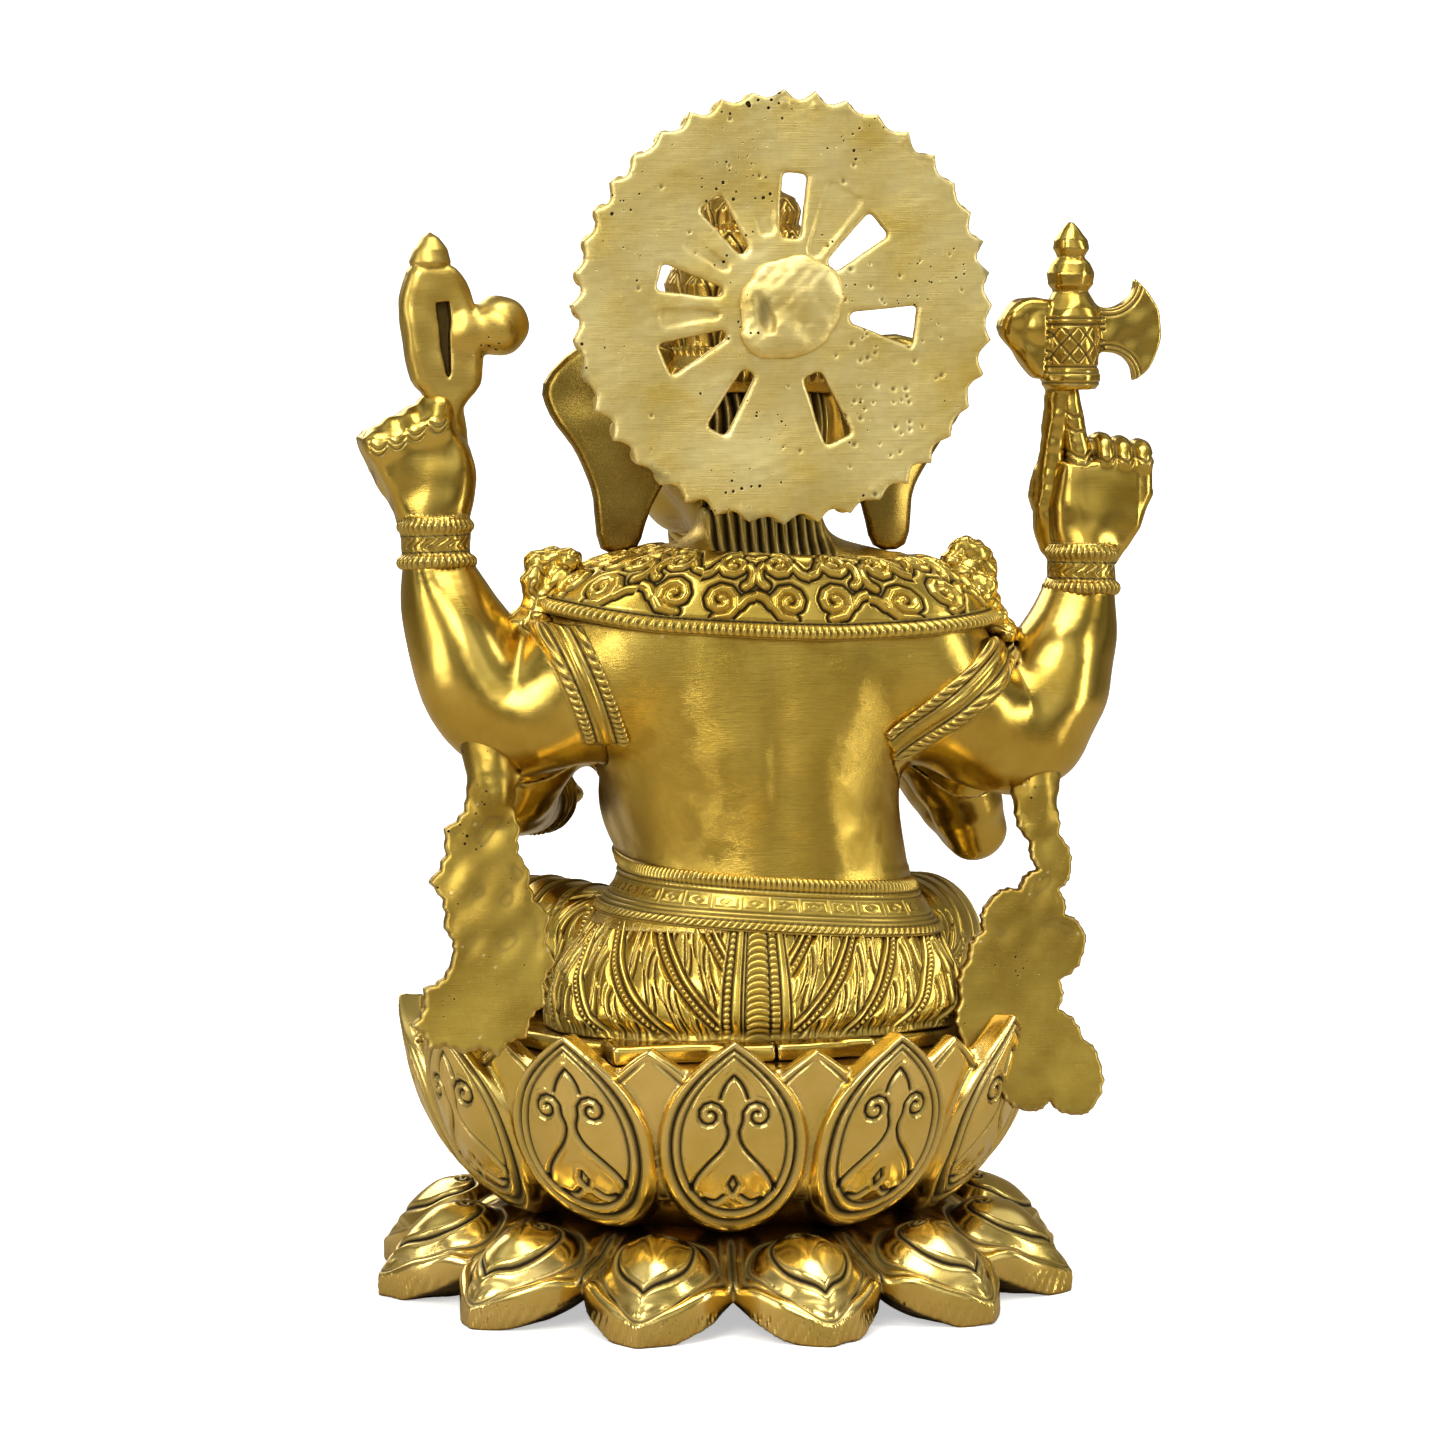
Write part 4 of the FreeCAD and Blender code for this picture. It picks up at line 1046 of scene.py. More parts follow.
LEGS = {
    1: [(22, 22, 97, 18), (42, -6, 99, 20.5), (55, -30, 99, 19.5), (36, -50, 96, 15), (8, -61, 93, 11.5),
        (-4, -63, 92, 9.5)],
    -1: [(-32, 22, 97, 18), (-54, -4, 99, 20.5), (-67, -26, 98, 18.5), (-48, -42, 100, 15),
         (-20, -50, 101, 11.5), (-8, -52, 100, 9.5)],
}
FEET = {1: (-18, -64, 89), -1: (8, -52, 97)}


def foot(side):
    """Bare foot lying on its side, with five toes."""
    x, y, z = FEET[side]
    parts = [ellipsoid((x, y, z + 1), (16, 8.5, 6.5)),
             ellipsoid((x + side * 13, y + 1, z + 1), (7, 7.5, 6.5))]
    for k in range(5):
        toe = (x - side * (15.5 - 0.8 * k), y - 6.0 + 3.1 * k, z + 3.4 - 0.9 * k)
        parts.append(ellipsoid(toe, (5.0 - 0.35 * k, 2.6 - 0.22 * k, 2.7 - 0.2 * k)))
    return blended(2.0, *parts)


def lower_body_field():
    legs = blended(5, HIPS, *[limb(rows, 3.0, 3) for rows in LEGS.values()])
    anklets = joined(ring((2, -62, 92.5), 11.5, 1.8, (1, 0.25, 0.05)),
                     ring((-15, -51, 100.5), 11.5, 1.8, (1, -0.3, 0)))
    whole = blended(2.5, legs, foot(1), foot(-1))
    tuck = lambda p: 1.6 * bump(p[:, 2], 84.5, 2.6) * ramp(p[:, 1] - 40, 16)
    return lambda p: soft_max(np.minimum(whole(p) + tuck(p), anklets(p)), leg_low[2] - p[:, 2], 1.2)


PANEL_X = 5.6                       # middle of the ribbed panel behind
PLEAT = 17.0


def beaded(at, width, along, pitch):
    """Raised cord of the given width, cut into beads: lift and dark."""
    bead, _ = folded(along, pitch)
    cord = bump(at, 0, width)
    cuts = pair(bead, pitch / 2, 0.32)
    return cord * (0.8 - 0.75 * cuts), 0.75 * cord * cuts


def carve_dhoti(p):
    """Ribbed middle panel, beaded diagonal bands and creased cloth between."""
    x, y, z = p.T
    u = arc_round(p, FIGURE_X + 2, 31, 60, 38) - (PANEL_X - FIGURE_X - 2)
    behind = ramp(y - 2, 8) * np.clip((3 - belt_height(p) - 7) / 2, 0, 1) * ramp(z - 82, 4)
    side = np.clip(np.abs(u) - 9.8, 0, 1)
    slant = np.abs(u) + 0.9 * (98 - z) + 1.1 * np.sin(u * 0.09)
    cross, number = folded(slant - 22, PLEAT)
    along = 0.66 * np.abs(u) + 0.75 * (z - 98) + number * 3.0
    lift, dark = beaded(cross - 0.9, 0.8, along, 1.6)
    lift = lift + 0.8 * bump(cross, -1.7, 0.8)
    for at in (-2.9, -0.5, 2.3):
        lift = lift - 0.8 * bump(cross, at, 0.45)
        dark = dark + 0.9 * bump(cross, at, 0.4)
    inside = np.clip(np.abs(cross) - 3.0, 0, 1)
    across = np.where(cross < 0, cross + PLEAT, cross) - PLEAT / 2
    flame, _ = folded(along + 1.6 * across + 1.5 * np.sin(across * 0.5), 13.0)
    half = 5.2 - 0.35 * (across + 5.5)
    crease = bump(np.abs(flame), half, 0.55)
    curl = bump(flame, 0.35 * across - 0.6, 0.45) * np.clip(4.5 - np.abs(across), 0, 1)
    lift = lift + inside * (0.85 * np.clip(1 - (flame / half) ** 2, 0, 1) ** 0.6 - 0.95 * crease
                            - 0.5 * curl)
    dark = dark + inside * (0.85 * crease + 0.6 * curl)
    rib, _ = folded(z + 0.09 * (u + 0.5) ** 2, 1.9)
    cut = np.abs(np.stack([u - at for at in (-9.6, -6.8, -3.7, 3.4, 4.4, 7.2, 9.6)]))
    walls = bump(cut.min(0), 0, 0.42)
    teeth, _ = folded(z, 1.7)
    rows = pair(teeth, 0.85, 0.36)
    crescents = pair(rib, 0.95, 0.4)
    columns = (crescents * (np.abs(u + 0.2) < 3.2)
               + rows * ((np.abs(u + 5.2) < 1.2) + (np.abs(u - 8.4) < 0.9)))
    panel = 1 - side
    lift = lift * side + panel * (0.7 - 0.85 * walls - 0.6 * columns)
    dark = dark * side + panel * (0.95 * walls + 0.65 * columns)
    in_front = (1 - ramp(y - 2, 8)) * ramp(z - 86, 3)
    hip = np.minimum(length(p - vec(24, 26, 105)), length(p - vec(-34, 26, 105)))
    pleat, _ = folded(hip, 9.0)
    bare = np.maximum(np.clip((12 - np.abs(x + 8)) / 3 + (y < -57), 0, 1), ramp(-57 - y, 2))
    drape = pair(pleat, 0.9, 0.5) * in_front * (1 - bare)
    edge = bump(pleat, 0, 0.8) * in_front * (1 - bare)
    # Painted shadow low on the back of the cloth, in the tuck just above the seat.
    painted_shadow_above_seat = 0.55 * bump(z, 81.5, 4.5) * np.clip(y / 10, 0, 1) * np.clip(0.8 + 0.5 * ripple(p, 12, 43), 0,
            1)
    return lift * behind + 0.5 * edge - 0.55 * drape, np.clip(dark * behind + 0.8 * drape + painted_shadow_above_seat, 0, 1)


def body():
    torso()
    casting("shoulder_mantle", CHASED, mantle_field, 0.8, carve_mantle, levels=2, margin=12)
    casting("waist_belt", CHASED, belt_field, 0.8, carve_belt, levels=2, margin=8)
    casting("lower_body", CHASED, hand_made(lower_body_field(), 0.25, 20, 41), 1.0, carve_dhoti,
            levels=2, margin=9)


# ---- rear arms with their straps and hands ----
def rear_arm(side):
    """Raised rear arm with the straps round it."""
    name = f"rear_{SIDE_NAME[side]}_arm"
    wrist = REAR_ARMS[side][-1]

    def near_band(p):
        v = strap_place(p, side)
        out = (p[:, 0] - FIGURE_X) * side
        low, high = (167, 202) if side > 0 else (160, 195)
        ends = np.maximum.reduce([low - p[:, 2], p[:, 2] - high, out - 76, 26 - out])
        return np.maximum.reduce([np.abs(v) - 6.2, REAR_LIMB[side](p) - 9, 18 - p[:, 1], ends])

    def field(p):
        skin = SKIN(p)
        own = np.maximum(skin, rear_share(p, side))
        band = soft_max(soft_max(skin - 1.5, near_band(p), 0.9), -skin - 3, 0.5)
        whole = np.minimum(own, band)
        return soft_max(whole, p[:, 2] - wrist[2] + 1.5, 1.0)

    def carve(p):
        v = strap_place(p, side)
        along = p[:, 2] * 0.75 + p[:, 1] * 0.66
        tooth, _ = folded(along, 1.75)
        notch = pair(tooth, 0.87, 0.4)
        rims = bump(np.abs(v), 4.6, 1.3)
        inside = np.clip((SKIN(p) - 0.5) * 1.5, 0, 1) * (near_band(p) < 1.5)
        lift = (rims * (0.7 - 0.85 * notch) - 0.6 * bump(np.abs(v), 2.7, 0.5) + 0.4 * bump(v, 0, 1.1)
                - 0.3 * bump(np.abs(v), 1.5, 0.4))
        dark = 0.8 * rims * notch + 0.85 * bump(np.abs(v), 2.7, 0.45) + 0.5 * bump(np.abs(v), 1.5, 0.35)
        return lift * inside, np.clip(dark * inside, 0, 1)
    return casting(name, POLISHED, hand_made(field, 0.4, 22, 50 + side), 0.9, carve, levels=2, margin=14)


def bangles(wrist, way):
    """Two ribbed rings with a chased cuff between, round a wrist."""
    w, n = vec(wrist), vec(way) / np.linalg.norm(way)
    return blended(0.6, rod(w - 7.5 * n, w + 7.5 * n, 10.2, 0.8), ring(w - 5.6 * n, 9.6, 2.2, n),
                   ring(w + 4.6 * n, 9.3, 2.0, n))


def carve_bangles(p, wrist, way):
    """Notched rings at a wrist, with a scroll between."""
    w, n = vec(wrist), vec(way) / np.linalg.norm(way)
    q = p - w
    along = q @ n
    angle = np.arctan2(q[:, 0], q[:, 1])
    tooth, _ = folded(angle, math.pi / 17)
    rings = bump(along, -5.6, 2.2) + bump(along, 4.6, 2.0)
    notch = pair(tooth * 10, 0.92, 0.4)
    scroll = bump(np.sin(angle * 9 + 1.5 * np.sin(along * 1.2)), 0.1, 0.28) * bump(along, -0.4, 2.2)
    here = (length(q - along[:, None] * n) < 14) * (np.abs(along) < 9)
    lift = -0.6 * notch * rings - 0.5 * scroll
    dark = 0.75 * notch * rings + 0.8 * scroll + 0.7 * bump(along, 1.9, 0.4) + 0.7 * bump(along, -2.8, 0.4)
    return lift * here, dark * here


def creased(p, lines, wrist, rear_y, under, depth, width, stain):
    """Creases in the back of a hand, over what is carved already: lift and dark."""
    lift, dark = under
    behind = p[:, 1] > rear_y
    line = stroke_distance(lines, p[:, 0] - wrist[0], p[:, 2] - wrist[2])
    return lift - depth * bump(line, 0, width) * behind, np.clip(dark + 0.7 * bump(line, 0, stain) * behind,
            0, 1)


def finger(rows):
    return limb(rows, 0.8, 3)


WRISTS = {1: (90.5, 22, 224.5), -1: (-105.2, 22, 214)}
WRIST_WAY = {1: (0.02, -0.05, 1), -1: (-0.03, -0.05, 1)}


def rear_left_hand():
    """Closed hand whose back faces the rear; four fingers fold forward over the goad."""
    x, y, z = WRISTS[1]
    palm = [(7, 2), (10.8, 9), (15.8, 18), (21.2, 30), (19, 31.0), (9, 33.5), (2.0, 36.5), (-4.5, 36),
            (-9, 26), (-10, 18), (-8, 2)]
    outline = moved(palm, x, z)
    back = slab(outline, lambda u, v: y - 6 + 0.03 * (v - z) - 0.22 * np.maximum(np.abs(u - x - 5) - 7, 0),
                8.5, 2.6)
    heel = ellipsoid((x - 5.5, y - 6, z + 18), (6.5, 9, 13))
    parts = [blended(6, back, heel, bone((x, y, z - 6), (x + 2, y - 6, z + 18), 9.0, 7.5))]
    for k in range(4):
        kx, kz, r = x + (17.2, 12.0, 6.2, -0.6)[k], z + (29.6, 32.0, 34.6, 37.8)[k], (3.3, 3.5, 3.9, 5.2)[k]
        parts.append(finger([(kx, y + 0.2, kz - 3, r - 0.4), (kx - 0.2, y - 3.5, kz + 0.8, r),
                             (kx - 1, y - 13, kz - 1, r), (kx - 3, y - 16, kz - 8, r - 0.3),
                             (kx - 5.5, y - 11, kz - 13, r - 0.4)]))
    thumb = finger([(x - 7, y - 9, z + 20, 4.6), (x - 5, y - 16, z + 28, 4.0),
                    (x + 2, y - 18, z + 32, 3.4)])
    hand = blended(2.4, *parts, thumb)
    whole = joined(hand, bangles(WRISTS[1], WRIST_WAY[1]))

    def carve(p):
        creases = []
        for k in range(4):
            kx, kz = (17.0, 11.8, 6.2, -0.2)[k], (27.6, 29.4, 31.8, 34.0)[k]
            for dz in (0, -1.7):
                creases.append(curved((kx + 2.4, kz + dz + 0.8), (kx + 0.9, kz + dz - 0.5),
                                      (kx - 0.9, kz + dz - 0.3), (kx - 2.3, kz + dz + 1.3)))
        return creased(p, creases, WRISTS[1], y - 8, carve_bangles(p, WRISTS[1], WRIST_WAY[1]),
                       0.35, 0.45, 0.42)
    return casting("rear_left_hand", POLISHED, hand_made(whole, 0.25, 12, 61), 0.7, carve,
                   levels=2, margin=15)


def rear_right_hand():
    """Hand with its index finger raised along the axe's shaft and three fingers folded."""
    x, y, z = WRISTS[-1]
    palm = [(6.5, 2), (6.0, 20), (5.6, 32), (-8, 32.5), (-22.8, 32), (-22.5, 22), (-18.5, 12), (-11, 2)]
    outline = moved(palm, x, z)
    back = slab(outline, lambda u, v: y - 6 - 0.25 * np.maximum(np.abs(u - x + 8) - 9, 0)
                - 0.003 * (v - z - 18) ** 2, 8.0, 2.4)
    parts = [blended(5, back, bone((x, y, z - 6), (x - 4, y - 6, z + 18), 9.0, 7.2),
                     ellipsoid((x + 3, y - 7, z + 18), (6.5, 8, 13)))]
    for k in range(3):
        kx, kz = x - 19.3 + 6.0 * k, z + 34.2 + 1.1 * k
        parts.append(finger([(kx, y + 0.2, kz - 3, 2.7), (kx, y - 3.5, kz + 1.0, 3.1),
                             (kx, y - 13, kz - 0.5, 3.2), (kx, y - 17, kz - 8, 3.0),
                             (kx, y - 12, kz - 13, 3.0)]))
    parts.append(finger([(x - 1.0, y - 4, z + 28, 4.4), (x + 0.6, y - 4, z + 38, 3.5),
                         (x + 2.2, y - 4, z + 47, 3.2), (x + 2.6, y - 4, z + 53.5, 2.6)]))
    parts.append(finger([(x + 6, y - 8, z + 14, 4.6), (x + 9.0, y - 10, z + 22, 4.4),
                         (x + 8, y - 9, z + 31, 3.4)]))
    whole = joined(blended(1.4, *parts), bangles(WRISTS[-1], WRIST_WAY[-1]))

    def carve(p):
        creases = [[(-3.0, 33), (-1.0, 31.2), (1.6, 31.6), (4.5, 33.5)],
                   [(-3.0, 35), (-1.0, 33.2), (1.6, 33.6), (4.5, 35.5)],
                   [(-1.5, 41.5), (1.2, 41), (3.8, 42)], [(-0.5, 46), (2.2, 45.6), (4.8, 46.6)],
                   [(-23.0, 30.5), (-23.0, 24)]]
        for k in range(3):
            kx = -19.6 + 6.1 * k
            creases.append([(kx - 2.8, 33.6), (kx, 31.6), (kx + 2.8, 33.2)])
            creases.append([(kx + 3.0, 33.5), (kx + 3.0, 38.5)])
        return creased(p, creases, WRISTS[-1], y - 10, carve_bangles(p, WRISTS[-1], WRIST_WAY[-1]),
                       0.5, 0.5, 0.45)
    return casting("rear_right_hand", POLISHED, hand_made(whole, 0.25, 12, 63), 0.7, carve,
                   levels=2, margin=15)


# ---- what the rear hands hold ----
def goad():
    """Leaf-shaped goad head with a recessed slit, a pointed cap and a ball on a short neck."""
    x, y, z = 88.3, 18.0, 287.0
    leaf = [(8, 17.8), (11.2, 10.4), (11.8, 3.6), (10.4, -7.4), (8.6, -15.7), (4.4, -20.7), (2.5, -28),
            (-4.5, -28), (-6.2, -23.7), (-11.5, -16.9), (-12.6, -8), (-10.5, 1), (-10, 6),
            (-7.4, 13), (-2.4, 18)]
    plate = slab(smooth_outline(moved(leaf, x, z)), y, 5.2, 3.6)
    neck = bone((x - 7, y, z - 1.5), (x - 15, y, z - 0.5), 7.0, 6.4)
    knob = ball((x - 17.2, y + 0.5, z + 0.2), 8.7)
    cap = turned_profile((x + 2.8, y), [(0, z + 17), (5.0, z + 17.4), (5.6, z + 18.6), (4.6, z + 22),
                                        (2.2, z + 25.4), (0, z + 27)])
    tang = limb([(x - 1, y - 1, z - 22, 5), (x - 4, y - 3, z - 34, 4.2), (x - 2, y - 5, z - 48, 4.0)])
    whole = blended(1.8, plate, neck, knob, tang)
    slit = slab([(x + 2.2, z + 7), (x - 1.8, z + 7), (x - 2.4, z - 13.5), (x - 1.5, z - 15),
                 (x - 0.6, z - 13.5)], y + 6, 4.6, 0.3)
    held = joined(carved_out(whole, slit, 0.7), lambda p: cap(p) - 0.5)

    def carve(p):
        u, v = p[:, 0] - x, p[:, 2] - z
        reach = ramp(v + 15, 22)
        inside = (np.abs(u + 1.5 * (1 - reach)) < 0.6 + 1.6 * reach) * (v > -15) * (v < 7.2)
        # The floor and walls of the sunken slit are darkened: painted shade in the recess.
        return 0 * v, 0.75 * inside * (p[:, 1] < y + 4.4) * (p[:, 1] > y)
    return casting("goad", BRUSHED_WARM, hand_made(held, 0.25, 10, 71), 0.6, carve, levels=2, margin=8)


def axe():
    """Battle axe: finial, ringed barrel with a hatched band, crescent blade and a rough poll."""
    x, y, z = -102.5, 18.0, 281.0
    barrel = turned_profile((x, y), [(0, -13), (7.4, -13), (8.6, -11.5), (8.6, -8.5), (8.0, -7.5), (8.6, 0),
                                     (8.2, 6), (8.8, 8), (8.0, 10.5), (6.2, 13.5), (4.6, 16), (6.4, 18),
                                     (6.8, 21), (5.4, 24), (3.6, 26), (5.0, 28.6), (4.6, 31), (2.4, 34),
                                     (0.6, 36), (0, 36)])
    lifted = lambda p: barrel(p - vec(0, 0, z)) - 0.4
    disc = rod((x - 9.5, y - 2.2, z + 4.2), (x - 9.5, y + 2.2, z + 4.2), 18.4, 0.7)
    bites = joined(rod((x - 11.5, y - 9, z + 19), (x - 11.5, y + 9, z + 19), 8.2, 0.5),
                   rod((x - 11.5, y - 9, z - 10.6), (x - 11.5, y + 9, z - 10.6), 8.2, 0.5))
    blade = lambda p: soft_max(soft_max(disc(p), -bites(p), 1.0), p[:, 0] - x, 1.0)
    side_view = [(6, 12), (12, 14), (18, 12.5), (22.4, 5), (18, -2), (12, -9.5), (8, -9), (6, 0)]
    poll = slab(smooth_outline(moved(side_view, x, z)), y, 5.0, 3.6)
    lobes = joined(ellipsoid((x + 11, y + 4, z + 5), (3.4, 2.2, 4.4)),
                   ellipsoid((x + 17, y + 2, z + 8), (3.6, 3.4, 3.2)))
    shaft = limb([(x + 2, y - 2, z - 12, 4.6), (x + 4, y - 3, z - 30, 4.0), (x + 5.5, y - 4, z - 48, 4.6),
                  (x + 4, y - 4, z - 60, 4.2)])
    whole = blended(1.0, lifted, blade, blended(1.5, poll, lobes), shaft)

    def carve(p):
        u, v = p[:, 0] - x, p[:, 2] - z
        around = np.arctan2(u, p[:, 1] - y) * 8.5
        on = (np.hypot(u, p[:, 1] - y) < 10.5) * (np.abs(v) < 14)
        dark = 0 * v
        for at in (-11.4, -8.4, -6.6, 6.0, 7.8):
            dark = dark + bump(v, at, 0.42)
        one, _ = folded(around + v * 0.9, 5.2)
        two, _ = folded(around - v * 0.9, 5.2)
        hatch = (bump(one, 0, 0.42) + bump(two, 0, 0.42)) * (v > -5.6) * (v < 5.0)
        arc = np.hypot(u + 9.5, v - 4.2)
        inner = np.minimum(np.hypot(u + 11.5, v - 19), np.hypot(u + 11.5, v + 10.6))
        edge = (bump(inner, 10.4, 0.45) + bump(inner, 8.9, 0.3)) * (u < -9) * (arc < 18)
        groove = np.clip((dark + hatch) * on + edge, 0, 1)
        return -0.5 * groove, 0.8 * groove
    return casting("axe", POLISHED, hand_made(whole, 0.2, 9, 73), 0.6, carve, levels=2, margin=8)


# ---- front arms and the bowl of sweets ----
def front_arm(side):
    """Front arm with its band, cuff and hand."""
    name = f"front_{SIDE_NAME[side]}_arm"
    arm = FRONT_LIMB[side]
    rows = FRONT_ARMS[side]
    wrist = vec(rows[-1][:3])
    way = (vec(rows[-1][:3]) - vec(rows[-2][:3]))
    cuff = bangles(wrist - way * 0.12, way)
    if side > 0:
        x, y, z = 40.0, -60.0, 142.0
        hand = [ellipsoid((x + 2, y + 4, z), (10.5, 13, 4.6)), ellipsoid((x + 9, y + 8, z + 2), (5, 7, 5))]
        for k in range(4):
            fx = x - 5.8 + 4.3 * k
            hand.append(finger([(fx, y - 4, z, 3.0), (fx - 0.6, y - 12, z + 0.5, 2.8),
                                (fx - 0.8, y - 18 + abs(k - 1.5), z + 2.6, 2.3)]))
        hand.append(finger([(x + 10, y + 4, z + 2, 3.6), (x + 12, y - 3, z + 6, 3.0),
                            (x + 10.5, y - 8, z + 9, 2.5)]))
    else:
        x, y, z = -65.0, -51.0, 174.0
        hand = [ellipsoid((x, y + 1, z - 4), (9.8, 5.2, 12)), ellipsoid((x + 5, y - 1, z - 8), (5, 4.5, 7))]
        for k in range(4):
            fx = x - 7.0 + 4.4 * k
            tall = (15.5, 18.5, 18, 15.5)[k]
            hand.append(finger([(fx, y, z + 3, 3.0), (fx - 0.2 * (1.5 - k), y - 1, z + tall * 0.6, 2.8),
                                (fx - 0.3 * (1.5 - k), y - 0.5, z + tall, 2.2)]))
        hand.append(finger([(x + 8, y, z - 8, 3.6), (x + 11.5, y - 2, z - 1, 3.0),
                            (x + 12.0, y - 2.5, z + 4.5, 2.4)]))
    upper = (vec(rows[0][:3]) + 2 * vec(rows[1][:3])) / 3
    band = limited(lambda p: arm(p) - 1.7,
                   lambda p: np.abs((p - upper) @ (vec(rows[1][:3]) - vec(rows[0][:3])) / 30.0), 4.0, 1.0)
    hand = blended(1.8, limb(rows[-2:], 1.0, 3), *hand)

    def field(p):
        own = np.maximum(SKIN(p), front_share(p, side))
        return np.minimum.reduce([own, hand(p), cuff(p), np.maximum(band(p), -REAR_LIMB[side](p) - 2)])

    def carve(p):
        lift, dark = carve_bangles(p, wrist - way * 0.12, way)
        v = (p - upper) @ (vec(rows[1][:3]) - vec(rows[0][:3])) / 30.0
        turn = np.arctan2(p[:, 0] - upper[0], p[:, 1] - upper[1]) * 17
        tooth, _ = folded(turn, 2.4)
        groove = (bump(np.abs(v), 2.0, 0.4) + bump(tooth, 1.2, 0.4) * (np.abs(v) > 2.4)) * (np.abs(v) < 4.4)
        if side < 0:
            eye = stroke_distance([spiral(x, z - 5, 3.6, 0, 1, 1.0, 12)], p[:, 0], p[:, 2])
            palm = bump(eye, 0, 0.45) * (p[:, 1] < y - 1)
            lift, dark = lift - 0.4 * palm, dark + 0.7 * palm
        return lift - 0.45 * groove, np.clip(dark + 0.75 * groove, 0, 1)
    return casting(name, POLISHED, hand_made(field, 0.2, 14, 80 + side), 0.8, carve, levels=1, margin=12)


def sweet_bowl():
    """Footed bowl heaped with round, pointed sweets."""
    low, high = corners("sweet_bowl")
    x, y = (low[0] + high[0]) / 2, (low[1] + high[1]) / 2
    z = low[2]
    cup = turned_profile((x, y), [(0, 0), (6.5, 0), (6.5, 1.2), (4.6, 2.6), (8.5, 5), (12.0, 9.6),
                                  (11.2, 10), (0, 9.0)])
    bowl = lambda p: cup(p - vec(0, 0, z)) - 0.5
    sweets = []
    for layer, (count, radius, rise) in enumerate(((7, 7.4, 10.6), (4, 3.6, 14.0), (1, 0, 17.0))):
        for k in range(count):
            a = 2 * math.pi * (k + 0.5 * layer) / count
            spot = (x + radius * math.cos(a), y + radius * math.sin(a), z + rise)
            sweets.append(blended(1.5, ball(spot, 3.5),
                                  bone(spot, (spot[0], spot[1], spot[2] + 4.2), 2.2, 0.5)))

    def carve(p):
        angle = np.arctan2(p[:, 0] - x, p[:, 1] - y)
        v = p[:, 2] - z
        leaf, _ = folded(angle * 10, 10 * 2 * math.pi / 14)
        groove = bump(leaf, 0, 0.4) * (v > 3) * (v < 7.5) + bump(v, 8.0, 0.4)
        return -0.4 * groove * (v < 9), 0.7 * groove * (v < 9)
    return casting("sweet_bowl", POLISHED, joined(bowl, blended(0.5, *sweets)), 0.6, carve,
                   levels=1, margin=10)


# ---- head, ears, tusks and crown ----
TRUNK_ROWS = [(FIGURE_X, -12, 250, 17.5), (FIGURE_X, -22, 240, 16.5), (FIGURE_X - 1, -33, 222, 14),
              (FIGURE_X - 3, -44, 198, 11.8), (FIGURE_X - 2, -51, 178, 10), (FIGURE_X + 4, -56, 163, 8.6),
              (FIGURE_X + 15, -60, 155.5, 7.4), (FIGURE_X + 28, -62, 160, 6.6)]


